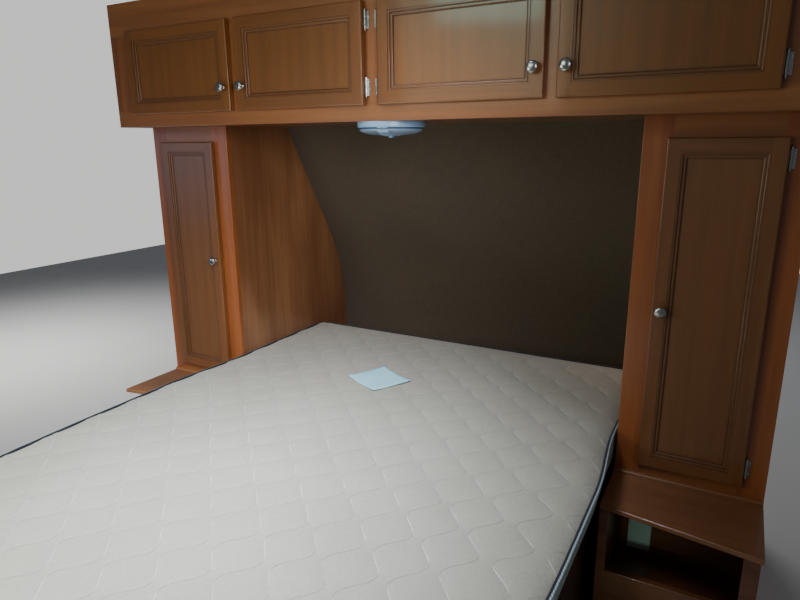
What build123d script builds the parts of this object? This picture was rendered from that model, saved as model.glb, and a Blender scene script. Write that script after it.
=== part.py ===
from build123d import *
import math
import os

os.makedirs("parts", exist_ok=True)

# Motorhome bedroom unit, in millimetres. X runs across the vehicle, Y towards the head wall, Z up.
# The origin is on the floor, under the middle of the whole unit.

# Driving dimensions
unit_w = 2330.0
unit_h = 2070.0
board = 15.0            # carcass boards
thin = 12.0             # overhead boards and dividers
frame_t = 18.0          # face frames
seam = 0.5              # play between a straight board and the curved wall
soft_edge = 2.0         # rounding where a face frame's edge is touched

# Head wall: upright, then bent on one radius, then straight and leaning over the bed
wall_y = 1057.0         # inner face where it is upright
wall_t = 15.0
wall_split_z = 585.0    # bulkhead below, cloth-covered panel above
bend_z = 700.0
bend_r = 880.0
lean = 31.0

# Bed
bed_half = 753.5
bed_head_y = 833.0
bed_foot_y = -1072.0
deck_top = 600.0
deck_t = 15.0
mattress_t = 110.0
mattress_corner = 70.0
mattress_bevel = 8.0
deck_half = 740.0
deck_foot_y = -1060.0
deck_head_y = 842.0
hinge_line_y = 846.0
hinge_line_z = 606.0
shelf_y = 850.0
base_half = 734.0
base_foot_y = -1045.0
base_head_y = 852.0

# Wardrobes
side_x = 760.0          # face of the inner side board, on the bed's side
wardrobe_y = 273.0      # front of the face frame
stile_in = (760.0, 837.0)
stile_out = (1093.0, unit_w / 2)
rod_r = 12.0
rod_y, rod_z = 480.0, 1530.0
flange_r, flange_t = 27.0, 4.0

# Nightstands
ledge_top = 567.0
ledge_t = 16.0
ledge_y_in = 60.0       # front edge beside the bed
ledge_y_out = -3.0      # front edge at the outer wall
stand_y = 68.0          # front of the nightstand's frame
cubby_lip_z = 352.0
cubby_floor_z = 250.0
cubby_back_y = 340.0
trim_r = 10.0

# Overhead cupboards
overhead_z = 1626.0
overhead_y = 119.0      # front of the face frame
overlay = 12.0          # how far a door covers its frame

# Doors
door_t = 19.0
door_gap = 2.0          # between a closed door and its frame
door_stile = 37.0       # stiles and rails, up to the moulding
moulding = 16.0
door_w = 502.0
overhead_door_z = (1672.0, 1967.0)
wardrobe_door_z = (612.0, 1569.0)
centre_gap = 52.0
door_space = 34.0
knob_in = 26.0          # knob centre from the free edge
knob_up = 78.0          # overhead knob centre above the door's lower edge
wardrobe_knob_z = 1097.0
pin_out = 5.0           # hinge pin from the door's edge and from the frame's face
pin_r = 4.0

# Gas struts
strut_x = 702.0
strut_foot = (646.0, 210.0)
strut_eye = (396.0, 562.0)

inner_door = centre_gap / 2
outer_door = inner_door + door_w + door_space
divider_x = inner_door + door_w + door_space / 2

# One row per door: name, hinge edge x, free edge x, lower z, upper z, frame face y, knob z
overhead_knob_z = overhead_door_z[0] + knob_up
doors = [
    ("overhead_door_1", -outer_door - door_w, -outer_door, *overhead_door_z, overhead_y, overhead_knob_z),
    ("overhead_door_2", -inner_door, -inner_door - door_w, *overhead_door_z, overhead_y, overhead_knob_z),
    ("overhead_door_3", inner_door, inner_door + door_w, *overhead_door_z, overhead_y, overhead_knob_z),
    ("overhead_door_4", outer_door + door_w, outer_door, *overhead_door_z, overhead_y, overhead_knob_z),
    ("wardrobe_door_left", -1105.0, -825.0, *wardrobe_door_z, wardrobe_y, wardrobe_knob_z),
    ("wardrobe_door_right", 1105.0, 825.0, *wardrobe_door_z, wardrobe_y, wardrobe_knob_z),
]


# A board between two corners, each axis given as (low, high)
def slab(x, y, z, mode=Mode.ADD):
    with Locations(((x[0] + x[1]) / 2, (y[0] + y[1]) / 2, (z[0] + z[1]) / 2)):
        Box(x[1] - x[0], y[1] - y[0], z[1] - z[0], mode=mode)


# The head wall's line, offset by gap towards the bed, as (y, z)
def wall_points(gap):
    face_y = wall_y - gap
    centre = (face_y - bend_r, bend_z)
    end_y = centre[0] + bend_r * math.cos(math.radians(lean))
    end_z = bend_z + bend_r * math.sin(math.radians(lean))
    top_y = end_y - (unit_h - end_z) * math.tan(math.radians(lean))
    return face_y, centre, (end_y, end_z), (top_y, unit_h)


# Upright board seen from the side: straight front, back edge on the head wall
def side_profile(y_front, z_low, z_high):
    face_y, centre, bend_end, top = wall_points(seam)
    with BuildSketch() as profile:
        with BuildLine():
            Line((face_y, 0), (face_y, bend_z))
            CenterArc(centre, bend_r, 0, lean)
            Line(bend_end, top)
            Polyline(top, (y_front, unit_h), (y_front, 0), (face_y, 0))
        make_face()
        with Locations(((y_front + wall_y) / 2, (z_low + z_high) / 2)):
            Rectangle(wall_y - y_front, z_high - z_low, mode=Mode.INTERSECT)
    return profile.sketch


# Head wall, from the shelf to the ceiling
wall_face_y, wall_centre, wall_bend_end, wall_top = wall_points(0)
rear_r = bend_r + wall_t
rear_bend_end = (
    wall_centre[0] + rear_r * math.cos(math.radians(lean)),
    wall_centre[1] + rear_r * math.sin(math.radians(lean)),
)
rear_top = (wall_top[0] + wall_t / math.cos(math.radians(lean)), unit_h)
with BuildPart() as head_wall:
    with BuildSketch(Plane.YZ.offset(-unit_w / 2)):
        with BuildLine():
            Line((wall_face_y, wall_split_z), (wall_face_y, bend_z))
            CenterArc(wall_centre, bend_r, 0, lean)
            Polyline(wall_bend_end, wall_top, rear_top, rear_bend_end)
            CenterArc(wall_centre, rear_r, 0, lean)
            Polyline(
                (wall_face_y + wall_t, bend_z),
                (wall_face_y + wall_t, wall_split_z),
                (wall_face_y, wall_split_z),
            )
        make_face()
    extrude(amount=unit_w)
head_wall.part.label = "head_wall"
export_step(head_wall.part, "parts/head_wall.step")

with BuildPart() as head_bulkhead:
    slab((-unit_w / 2, unit_w / 2), (wall_y, wall_y + wall_t), (0, wall_split_z))
head_bulkhead.part.label = "head_bulkhead"
export_step(head_bulkhead.part, "parts/head_bulkhead.step")

# Shelf behind the mattress
with BuildPart() as head_shelf:
    slab((-side_x + 1, side_x - 1), (shelf_y, wall_y - seam), (deck_top - deck_t, deck_top))
head_shelf.part.label = "head_shelf"
export_step(head_shelf.part, "parts/head_shelf.step")

# Bed base
with BuildPart() as base_sides:
    slab((base_half - board, base_half), (base_foot_y + board, wall_y - seam), (0, deck_top - deck_t))
    mirror(about=Plane.YZ)
base_sides.part.label = "base_sides"
export_step(base_sides.part, "parts/base_sides.step")

with BuildPart() as base_ends:
    slab((-base_half, base_half), (base_foot_y, base_foot_y + board), (0, deck_top - deck_t))
    slab((-base_half + board, base_half - board), (base_head_y, base_head_y + board), (0, deck_top - deck_t))
base_ends.part.label = "base_ends"
export_step(base_ends.part, "parts/base_ends.step")

# Floor cleats, with a screw hole near each end
cleat_w, cleat_h = 40.0, 30.0
cleat_y = (-1000.0, 800.0)
cleat_hole_r = 4.0
cleat_hole_y = (-900.0, 700.0)
cleat_x = base_half - board - cleat_w / 2
with BuildPart() as floor_cleats:
    slab((cleat_x - cleat_w / 2, cleat_x + cleat_w / 2), cleat_y, (0, cleat_h))
    with Locations([(cleat_x, y, cleat_h / 2) for y in cleat_hole_y]):
        Cylinder(cleat_hole_r, cleat_h, mode=Mode.SUBTRACT)
    mirror(about=Plane.YZ)
floor_cleats.part.label = "floor_cleats"
export_step(floor_cleats.part, "parts/floor_cleats.step")

# Wardrobe and nightstand sides
with BuildPart() as wardrobe_sides:
    for x in (side_x, unit_w / 2 - board):
        with BuildSketch(Plane.YZ.offset(x)):
            add(side_profile(wardrobe_y + frame_t, ledge_top, overhead_z))
        extrude(amount=board)
    mirror(about=Plane.YZ)
wardrobe_sides.part.label = "wardrobe_sides"
export_step(wardrobe_sides.part, "parts/wardrobe_sides.step")

with BuildPart() as nightstand_sides:
    stand_z = (0, ledge_top - ledge_t)
    slab((side_x, side_x + board), (stand_y + frame_t, wall_y - seam), stand_z)
    slab((unit_w / 2 - board, unit_w / 2), (stand_y + frame_t, wall_y - seam), stand_z)
    mirror(about=Plane.YZ)
nightstand_sides.part.label = "nightstand_sides"
export_step(nightstand_sides.part, "parts/nightstand_sides.step")

# Ledge: nightstand top and wardrobe floor in one board, its front edge slanting out to the wall
ledge_round = 5.0
with BuildPart() as ledge_boards:
    with BuildSketch(Plane.XY.offset(ledge_top - ledge_t)):
        with BuildLine():
            Polyline(
                (side_x, ledge_y_in), (unit_w / 2, ledge_y_out),
                (unit_w / 2, wall_y - seam), (side_x, wall_y - seam), close=True,
            )
        make_face()
    extrude(amount=ledge_t)
    fillet(ledge_boards.faces().sort_by(Axis.Y)[0].edges().filter_by(Plane.XY), radius=ledge_round)
    mirror(about=Plane.YZ)
ledge_boards.part.label = "ledge_boards"
export_step(ledge_boards.part, "parts/ledge_boards.step")

# Quarter-round strip where the wardrobe meets the ledge
with BuildPart() as trim_strips:
    with BuildSketch(Plane.YZ.offset(side_x)):
        with BuildLine():
            Line((wardrobe_y, ledge_top), (wardrobe_y, ledge_top + trim_r))
            CenterArc((wardrobe_y, ledge_top), trim_r, 90, 90)
            Line((wardrobe_y - trim_r, ledge_top), (wardrobe_y, ledge_top))
        make_face()
    extrude(amount=unit_w / 2 - side_x)
    mirror(about=Plane.YZ)
trim_strips.part.label = "trim_strips"
export_step(trim_strips.part, "parts/trim_strips.step")

# Nightstand front: board below the open cubby, stile each side of it
stand_stile_in = 25.0
stand_stile_out = 40.0
with BuildPart() as nightstand_fronts:
    with BuildSketch(Plane.XZ.offset(-stand_y)):
        with Locations(((side_x + unit_w / 2) / 2, (ledge_top - ledge_t) / 2)):
            Rectangle(unit_w / 2 - side_x, ledge_top - ledge_t)
        cubby_x = (side_x + stand_stile_in, unit_w / 2 - stand_stile_out)
        with Locations(((cubby_x[0] + cubby_x[1]) / 2, (cubby_lip_z + ledge_top) / 2)):
            Rectangle(cubby_x[1] - cubby_x[0], ledge_top - cubby_lip_z, mode=Mode.SUBTRACT)
    extrude(amount=-frame_t)
    front_face = nightstand_fronts.faces().sort_by(Axis.Y)[0]
    fillet(front_face.edges().filter_by_position(Axis.Z, cubby_lip_z, cubby_lip_z), radius=soft_edge)
    mirror(about=Plane.YZ)
nightstand_fronts.part.label = "nightstand_fronts"
export_step(nightstand_fronts.part, "parts/nightstand_fronts.step")

panel_t = 6.0
inner_x = (side_x + board, unit_w / 2 - board)
with BuildPart() as cubby_floors:
    slab(inner_x, (stand_y + frame_t, cubby_back_y), (cubby_floor_z - panel_t, cubby_floor_z))
    mirror(about=Plane.YZ)
cubby_floors.part.label = "cubby_floors"
export_step(cubby_floors.part, "parts/cubby_floors.step")

with BuildPart() as cubby_backs:
    slab(inner_x, (cubby_back_y, cubby_back_y + panel_t), (cubby_floor_z - panel_t, ledge_top - ledge_t))
    mirror(about=Plane.YZ)
cubby_backs.part.label = "cubby_backs"
export_step(cubby_backs.part, "parts/cubby_backs.step")

# Wardrobe face frames
wardrobe_frame_y = (wardrobe_y, wardrobe_y + frame_t)
with BuildPart() as wardrobe_stiles:
    slab(stile_in, wardrobe_frame_y, (ledge_top, overhead_z))
    slab(stile_out, wardrobe_frame_y, (ledge_top, overhead_z))
    front_face = wardrobe_stiles.faces().sort_by(Axis.Y)[0:2].sort_by(Axis.X)[0]
    fillet(front_face.edges().sort_by(Axis.X)[0], radius=soft_edge)
    mirror(about=Plane.YZ)
wardrobe_stiles.part.label = "wardrobe_stiles"
export_step(wardrobe_stiles.part, "parts/wardrobe_stiles.step")

with BuildPart() as wardrobe_rails:
    rail_x = (stile_in[1], stile_out[0])
    slab(rail_x, wardrobe_frame_y, (ledge_top, wardrobe_door_z[0] + overlay))
    slab(rail_x, wardrobe_frame_y, (wardrobe_door_z[1] - overlay, overhead_z))
    mirror(about=Plane.YZ)
wardrobe_rails.part.label = "wardrobe_rails"
export_step(wardrobe_rails.part, "parts/wardrobe_rails.step")

# Hanging rods, one across each wardrobe, with a flange at each end
with BuildPart() as hanging_rods:
    for x, radius, length in (
        (inner_x[0], rod_r, inner_x[1] - inner_x[0]),
        (inner_x[0], flange_r, flange_t),
        (inner_x[1] - flange_t, flange_r, flange_t),
    ):
        with BuildSketch(Plane.YZ.offset(x)):
            with Locations((rod_y, rod_z)):
                Circle(radius)
        extrude(amount=length)
    mirror(about=Plane.YZ)
hanging_rods.part.label = "hanging_rods"
export_step(hanging_rods.part, "parts/hanging_rods.step")

# Overhead box
overhead_frame_y = (overhead_y, overhead_y + frame_t)
with BuildPart() as overhead_boards:
    for z in (overhead_z, unit_h - thin):
        with BuildSketch(Plane.YZ.offset(-unit_w / 2 + board)):
            add(side_profile(overhead_frame_y[1], z, z + thin))
        extrude(amount=unit_w - 2 * board)
overhead_boards.part.label = "overhead_boards"
export_step(overhead_boards.part, "parts/overhead_boards.step")

with BuildPart() as overhead_ends:
    with BuildSketch(Plane.YZ.offset(unit_w / 2 - board)):
        add(side_profile(overhead_frame_y[1], overhead_z, unit_h))
    extrude(amount=board)
    mirror(about=Plane.YZ)
overhead_ends.part.label = "overhead_ends"
export_step(overhead_ends.part, "parts/overhead_ends.step")

with BuildPart() as overhead_dividers:
    for x in (-divider_x, 0, divider_x):
        with BuildSketch(Plane.YZ.offset(x - thin / 2)):
            add(side_profile(overhead_frame_y[1], overhead_z + thin, unit_h - thin))
        extrude(amount=thin)
overhead_dividers.part.label = "overhead_dividers"
export_step(overhead_dividers.part, "parts/overhead_dividers.step")

overhead_rail_z = (overhead_door_z[0] + overlay, overhead_door_z[1] - overlay)
with BuildPart() as overhead_rails:
    slab((-unit_w / 2, unit_w / 2), overhead_frame_y, (overhead_z, overhead_rail_z[0]))
    fillet(overhead_rails.faces().sort_by(Axis.Y)[0].edges().sort_by(Axis.Z)[0], radius=soft_edge)
    slab((-unit_w / 2, unit_w / 2), overhead_frame_y, (overhead_rail_z[1], unit_h))
overhead_rails.part.label = "overhead_rails"
export_step(overhead_rails.part, "parts/overhead_rails.step")

# Stiles: x centre and width, from the left
end_stile = unit_w / 2 - outer_door - door_w + overlay
overhead_stile_table = [
    (-unit_w / 2 + end_stile / 2, end_stile),
    (-divider_x, door_space + 2 * overlay),
    (0.0, centre_gap + 2 * overlay),
    (divider_x, door_space + 2 * overlay),
    (unit_w / 2 - end_stile / 2, end_stile),
]
with BuildPart() as overhead_stiles:
    for x, width in overhead_stile_table:
        slab((x - width / 2, x + width / 2), overhead_frame_y, overhead_rail_z)
overhead_stiles.part.label = "overhead_stiles"
export_step(overhead_stiles.part, "parts/overhead_stiles.step")

# Doors: moulded frame, flat panel in a rebate, knob, hinge leaves
bead = 7.0              # outer ridge of the moulding, sunk by bead_depth and rounded on its inner side
bead_depth = 1.5
bead_round = 3.4
cove_depth = 5.5        # inner ridge, down to the panel
cove_round = 4.2
panel_depth = 10.0
rebate = 9.0
panel_play = 0.2
edge_round = 4.0
# Knob turned from radius and height, foot first
knob_profile = [(0, 0), (4.5, 0), (4.5, 15.5), (16.5, 15.5), (16.5, 20.0), (11.0, 25.0), (0, 25.0)]
leaf_w, leaf_h, leaf_t = 12.0, 48.0, 1.6
barrel_len = 54.0
wrap_w, wrap_t = 28.0, 0.8
wrap_side = 8.0         # how far the wrap runs along the door's edge
wrap_short = 2.0        # the wrap is this much shorter than the frame's leaf at each end
hinge_end = 53.0        # hinge centre from the door's end

with BuildPart() as hinge_frame_leaves:
    for name, hinge_x, free_x, z_low, z_high, face_y, knob_z in doors:
        out = 1 if hinge_x > free_x else -1
        pin_x = hinge_x + out * pin_out
        for z in (z_low + hinge_end, z_high - hinge_end):
            leaf_z = (z - leaf_h / 2, z + leaf_h / 2)
            slab(sorted((pin_x, pin_x + out * leaf_w)), (face_y - leaf_t, face_y), leaf_z)
            slab(sorted((pin_x - out, pin_x + out * pin_r)), (face_y - pin_out, face_y), leaf_z)
            with Locations((pin_x, face_y - pin_out, z)):
                Cylinder(pin_r, barrel_len)
hinge_frame_leaves.part.label = "hinge_frame_leaves"
export_step(hinge_frame_leaves.part, "parts/hinge_frame_leaves.step")

for name, hinge_x, free_x, z_low, z_high, face_y, knob_z in doors:
    out = 1 if hinge_x > free_x else -1
    width, height = abs(hinge_x - free_x), z_high - z_low
    centre = ((hinge_x + free_x) / 2, (z_low + z_high) / 2)
    back = Plane(origin=(centre[0], face_y - door_gap, centre[1]), x_dir=(1, 0, 0), z_dir=(0, -1, 0))
    front = back.offset(door_t)
    sight = (width - 2 * (door_stile + moulding), height - 2 * (door_stile + moulding))

    with BuildPart() as door_frame:
        with BuildSketch(back):
            Rectangle(width, height)
            Rectangle(*sight, mode=Mode.SUBTRACT)
        extrude(amount=door_t)
        outer_edges = door_frame.faces().sort_by(Axis.Y)[0].outer_wire().edges()
        fillet(outer_edges, radius=edge_round)
        for inset, depth in ((0, bead_depth), (bead, cove_depth)):
            with BuildSketch(front):
                Rectangle(width - 2 * (door_stile + inset), height - 2 * (door_stile + inset))
            extrude(amount=-depth, mode=Mode.SUBTRACT)
        for depth, radius in ((bead_depth, bead_round), (cove_depth, cove_round)):
            level_y = front.origin.Y + depth
            ledge = door_frame.faces().filter_by_position(Axis.Y, level_y, level_y).sort_by(SortBy.AREA)[-1]
            fillet(ledge.inner_wires()[0].edges(), radius=radius)
        with BuildSketch(back):
            Rectangle(sight[0] + 2 * rebate, sight[1] + 2 * rebate)
        extrude(amount=door_t - panel_depth, mode=Mode.SUBTRACT)
    door_frame.part.label = f"{name}_frame"
    export_step(door_frame.part, f"parts/{name}_frame.step")

    with BuildPart() as door_panel:
        with BuildSketch(back.offset(door_t - panel_depth - panel_t)):
            Rectangle(sight[0] + 2 * (rebate - panel_play), sight[1] + 2 * (rebate - panel_play))
        extrude(amount=panel_t)
    door_panel.part.label = f"{name}_panel"
    export_step(door_panel.part, f"parts/{name}_panel.step")

    knob_x = free_x + out * knob_in
    knob_plane = Plane(origin=(knob_x, face_y - door_gap - door_t, knob_z), x_dir=(1, 0, 0), z_dir=(0, 0, -1))
    with BuildPart() as door_knob:
        with BuildSketch(knob_plane):
            with BuildLine():
                Polyline(*knob_profile, close=True)
            make_face()
        revolve(axis=Axis(knob_plane.origin, (0, -1, 0)))
    door_knob.part.label = f"{name}_knob"
    export_step(door_knob.part, f"parts/{name}_knob.step")

    with BuildPart() as door_hinges:
        for z in (z_low + hinge_end, z_high - hinge_end):
            wrap_z = (z - leaf_h / 2 + wrap_short, z + leaf_h / 2 - wrap_short)
            wrap_y = (face_y - door_gap, face_y - door_gap + wrap_t)
            slab(sorted((hinge_x + out * wrap_t, hinge_x - out * wrap_w)), wrap_y, wrap_z)
            slab(sorted((hinge_x, hinge_x + out * wrap_t)), (wrap_y[0] - wrap_side, wrap_y[1]), wrap_z)
    door_hinges.part.label = f"{name}_hinges"
    export_step(door_hinges.part, f"parts/{name}_hinges.step")

# Lamp under the overhead floor, a little askew: ring, shallow lens, and a bar across it with the switch
lamp_xy = (0.0, 227.0)
lamp_turn = 14.0
lamp_r = 109.0
lamp_ring_h = 18.0
lamp_bevel = 3.0
# Lens turned from radius and depth, rim first
lens_profile = [(105.0, 0.0), (102.0, -7.0), (76.0, -19.0), (0.0, -25.0)]
lens_r, lens_h = lens_profile[0][0], -lens_profile[-1][1]
bar_w = 34.0
bar_play = 0.3
bar_proud = 2.0
switch_w, switch_len, switch_h, switch_proud = 12.0, 24.0, 6.0, 2.5
ring_base_z = overhead_z - lamp_ring_h
lamp_plane = Plane(origin=(*lamp_xy, ring_base_z)).rotated((0, 0, lamp_turn))
bar_plane = Plane(origin=lamp_plane.origin, x_dir=lamp_plane.y_dir, z_dir=lamp_plane.x_dir)

with BuildPart() as lamp_base:
    with BuildSketch(lamp_plane):
        Circle(lamp_r)
    extrude(amount=lamp_ring_h)
    chamfer(lamp_base.faces().sort_by(Axis.Z)[0].edges(), length=lamp_bevel)
lamp_base.part.label = "lamp_base"
export_step(lamp_base.part, "parts/lamp_base.step")

with BuildPart() as lamp_lens:
    with BuildSketch(bar_plane):
        with BuildLine():
            Polyline((0, 0), *lens_profile, close=True)
        make_face()
    revolve(axis=Axis(lamp_plane.origin, (0, 0, 1)))
    with BuildSketch(lamp_plane):
        Rectangle(bar_w, 2 * lens_r)
    extrude(amount=-lens_h, mode=Mode.SUBTRACT)
lamp_lens.part.label = "lamp_lens"
export_step(lamp_lens.part, "parts/lamp_lens.step")

bar_side = lens_profile[:1] + [(radius, depth - bar_proud) for radius, depth in lens_profile[1:]]
with BuildPart() as lamp_bar:
    with BuildSketch(bar_plane.offset(-bar_w / 2 + bar_play)):
        with BuildLine():
            Polyline(*bar_side, *[(-radius, depth) for radius, depth in reversed(bar_side[:-1])], close=True)
        make_face()
    extrude(amount=bar_w - 2 * bar_play)
    with BuildSketch(lamp_plane.offset(-lens_h - bar_proud - switch_proud)):
        Rectangle(switch_w, switch_len)
    extrude(amount=switch_h)
lamp_bar.part.label = "lamp_bar"
export_step(lamp_bar.part, "parts/lamp_bar.step")

# Mains outlet on the right cubby's back
outlet_x, outlet_z = 845.0, 321.0
plate_w, plate_h, plate_t = 70.0, 102.0, 5.0
plate_corner, plate_bevel = 4.0, 2.0
socket_w, socket_h, socket_corner, socket_proud = 34.0, 28.0, 10.0, 1.5
slot_w, slot_h, slot_in, slot_up = 2.2, 8.0, 6.5, 4.0
earth_r, earth_down = 2.6, 7.0
contact_depth = 4.0
outlet_plane = Plane(origin=(outlet_x, cubby_back_y, outlet_z), x_dir=(1, 0, 0), z_dir=(0, -1, 0))
socket_pitch = 39.0
with BuildPart() as outlet:
    with BuildSketch(outlet_plane):
        RectangleRounded(plate_w, plate_h, plate_corner)
    extrude(amount=plate_t)
    chamfer(outlet.faces().sort_by(Axis.Y)[0].edges(), length=plate_bevel)
    for side in (-1, 1):
        socket_y = side * socket_pitch / 2
        with BuildSketch(outlet_plane.offset(plate_t)):
            with Locations((0, socket_y)):
                RectangleRounded(socket_w, socket_h, socket_corner)
        extrude(amount=socket_proud)
        with BuildSketch(outlet_plane.offset(plate_t + socket_proud)):
            with Locations((-slot_in, socket_y + slot_up), (slot_in, socket_y + slot_up)):
                Rectangle(slot_w, slot_h)
            with Locations((0, socket_y - earth_down)):
                Circle(earth_r)
        extrude(amount=-contact_depth, mode=Mode.SUBTRACT)
outlet.part.label = "outlet"
export_step(outlet.part, "parts/outlet.step")

# Lift-up deck, mattress and paper card
with BuildPart() as deck:
    slab((-deck_half, deck_half), (deck_foot_y, deck_head_y), (deck_top - deck_t, deck_top))
deck.part.label = "deck"
export_step(deck.part, "parts/deck.step")

with BuildPart() as mattress:
    with BuildSketch(Plane.XY.offset(deck_top)):
        with Locations((0, (bed_foot_y + bed_head_y) / 2)):
            RectangleRounded(2 * bed_half, bed_head_y - bed_foot_y, mattress_corner)
    extrude(amount=mattress_t)
    chamfer(mattress.faces().sort_by(Axis.Z)[-1].edges(), length=mattress_bevel)
mattress.part.label = "mattress"
export_step(mattress.part, "parts/mattress.step")

card_centre = (-93.0, 278.0)
card_turn = -27.0
card_w, card_h, card_t = 178.0, 162.0, 0.8
card_z = deck_top + mattress_t + 0.4
with BuildPart() as paper_card:
    with BuildSketch(Plane(origin=(*card_centre, card_z)).rotated((0, 0, card_turn))):
        Rectangle(card_w, card_h)
    extrude(amount=card_t)
paper_card.part.label = "paper_card"
export_step(paper_card.part, "parts/paper_card.step")

# Deck hinge: three lengths on the shelf, with the pin
deck_hinge_len = 300.0
deck_hinge_x = (-500.0, 0.0, 500.0)
deck_hinge_r = 5.0
deck_hinge_leaf = 30.0
leaf_plate_t = 2.0
knuckle_z = (deck_top + 1.0, deck_top + 4.0)
with BuildPart() as deck_hinges:
    for x in deck_hinge_x:
        strip_x = (x - deck_hinge_len / 2, x + deck_hinge_len / 2)
        slab(strip_x, (shelf_y, shelf_y + deck_hinge_leaf), (deck_top, deck_top + leaf_plate_t))
        slab(strip_x, (hinge_line_y, shelf_y + leaf_plate_t), knuckle_z)
        with Locations(Location((x, hinge_line_y, hinge_line_z), (0, 90, 0))):
            Cylinder(deck_hinge_r, deck_hinge_len)
deck_hinges.part.label = "deck_hinges"
export_step(deck_hinges.part, "parts/deck_hinges.step")

# Struts, each side: cylinder and rod on the line from foot to eye, each hung on a stud
strut_run = math.dist(strut_foot, strut_eye)
strut_dir = ((strut_eye[0] - strut_foot[0]) / strut_run, (strut_eye[1] - strut_foot[1]) / strut_run)
cylinder_r, shaft_r, bore_play = 11.0, 5.0, 0.5
cylinder_from, cylinder_to = 18.0, 250.0
bore_from, shaft_from = 28.0, 32.0
foot_eye_r, neck_r, eye_t = 9.0, 4.0, 8.0
stud_r, stud_play = 4.0, 0.05
rod_eye_r, rod_eye_hole_r = 15.0, 9.5


# Plane across a strut's line, at a distance from its foot
def strut_plane(side, along):
    origin = (side * strut_x, strut_foot[0] + strut_dir[0] * along, strut_foot[1] + strut_dir[1] * along)
    return Plane(origin=origin, x_dir=(1, 0, 0), z_dir=(0, *strut_dir))


# Place for a cylinder that lies along X at a point of the side view
def across(x, point):
    return Locations(Location((x, *point), (0, 90, 0)))


for side, hand in ((-1, "left"), (1, "right")):
    with BuildPart() as strut_cylinder:
        with BuildSketch(strut_plane(side, cylinder_from)):
            Circle(cylinder_r)
        extrude(amount=cylinder_to - cylinder_from)
        with BuildSketch(strut_plane(side, 0)):
            Circle(neck_r)
        extrude(amount=cylinder_from)
        with across(side * strut_x, strut_foot):
            Cylinder(foot_eye_r, eye_t)
            Cylinder(stud_r + stud_play, eye_t, mode=Mode.SUBTRACT)
        with BuildSketch(strut_plane(side, bore_from)):
            Circle(shaft_r + bore_play)
        extrude(amount=cylinder_to - bore_from, mode=Mode.SUBTRACT)
    strut_cylinder.part.label = f"strut_cylinder_{hand}"
    export_step(strut_cylinder.part, f"parts/strut_cylinder_{hand}.step")

    with BuildPart() as strut_rod:
        with BuildSketch(strut_plane(side, shaft_from)):
            Circle(shaft_r)
        extrude(amount=strut_run - shaft_from)
        with across(side * strut_x, strut_eye):
            Cylinder(rod_eye_r, eye_t)
            Cylinder(rod_eye_hole_r, 2 * eye_t, mode=Mode.SUBTRACT)
    strut_rod.part.label = f"strut_rod_{hand}"
    export_step(strut_rod.part, f"parts/strut_rod_{hand}.step")

# Studs on the bed base's sides
stud_plate_r, stud_plate_t = 16.0, 4.0
base_face_x = base_half - board
stud_tip_x = strut_x - eye_t / 2 - 1
with BuildPart() as strut_base_studs:
    with across((base_face_x + stud_tip_x) / 2, strut_foot):
        Cylinder(stud_r, base_face_x - stud_tip_x)
    with across(base_face_x - stud_plate_t / 2, strut_foot):
        Cylinder(stud_plate_r, stud_plate_t)
    mirror(about=Plane.YZ)
strut_base_studs.part.label = "strut_base_studs"
export_step(strut_base_studs.part, "parts/strut_base_studs.step")

# Deck fittings: a bracket with a stud for each rod, and the deck's side of the hinge
bracket_x = (strut_x - 19.0, strut_x - 16.0)
bracket_half = 20.0
bracket_drop = 10.0     # below the rod's eye
leaf_from_y = 834.5
with BuildPart() as deck_fittings:
    slab(bracket_x, (strut_eye[0] - bracket_half, strut_eye[0] + bracket_half),
         (strut_eye[1] - bracket_drop, deck_top - deck_t))
    with across((bracket_x[1] + strut_x + eye_t) / 2, strut_eye):
        Cylinder(stud_r, strut_x + eye_t - bracket_x[1])
    mirror(about=Plane.YZ)
    for x in deck_hinge_x:
        slab((x - deck_hinge_len / 2, x + deck_hinge_len / 2), (leaf_from_y, deck_head_y),
             (deck_top, deck_top + leaf_plate_t))
deck_fittings.part.label = "deck_fittings"
export_step(deck_fittings.part, "parts/deck_fittings.step")
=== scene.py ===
import math

import bmesh
import bpy
import numpy as np
from mathutils import Matrix, Vector


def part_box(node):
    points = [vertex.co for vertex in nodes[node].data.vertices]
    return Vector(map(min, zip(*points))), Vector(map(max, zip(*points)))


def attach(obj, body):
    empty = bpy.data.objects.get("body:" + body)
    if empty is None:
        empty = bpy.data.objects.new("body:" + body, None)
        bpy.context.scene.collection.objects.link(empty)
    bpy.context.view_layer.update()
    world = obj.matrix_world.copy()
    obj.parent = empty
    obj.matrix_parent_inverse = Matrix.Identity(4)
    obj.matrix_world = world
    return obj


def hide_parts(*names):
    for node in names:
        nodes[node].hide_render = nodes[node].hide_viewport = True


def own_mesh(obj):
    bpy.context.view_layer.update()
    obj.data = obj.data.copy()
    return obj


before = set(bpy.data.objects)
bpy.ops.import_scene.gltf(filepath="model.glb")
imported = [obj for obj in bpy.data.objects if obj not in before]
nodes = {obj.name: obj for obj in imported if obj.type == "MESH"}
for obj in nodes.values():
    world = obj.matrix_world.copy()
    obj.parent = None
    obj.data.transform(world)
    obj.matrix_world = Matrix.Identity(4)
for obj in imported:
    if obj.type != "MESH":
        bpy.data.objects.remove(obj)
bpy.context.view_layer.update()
print("frame loaded,", len(nodes), "nodes")


def addObject(name, data):
    made = bpy.data.objects.new(name, data)
    bpy.context.scene.collection.objects.link(made)
    return made


# Camera, where the photograph was taken from

cameraView = {
    "place": (1.018, -1.567, 1.567),   # metres
    "turnLeft": 28.92,                 # degrees, from looking straight at the head wall
    "tiltDown": 14.45,
    "roll": -0.49,
    "focalPixels": 617.8,
    "widthPixels": 800,
    "sensor": 36.0,
    "nearest": 0.02,
}


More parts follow.
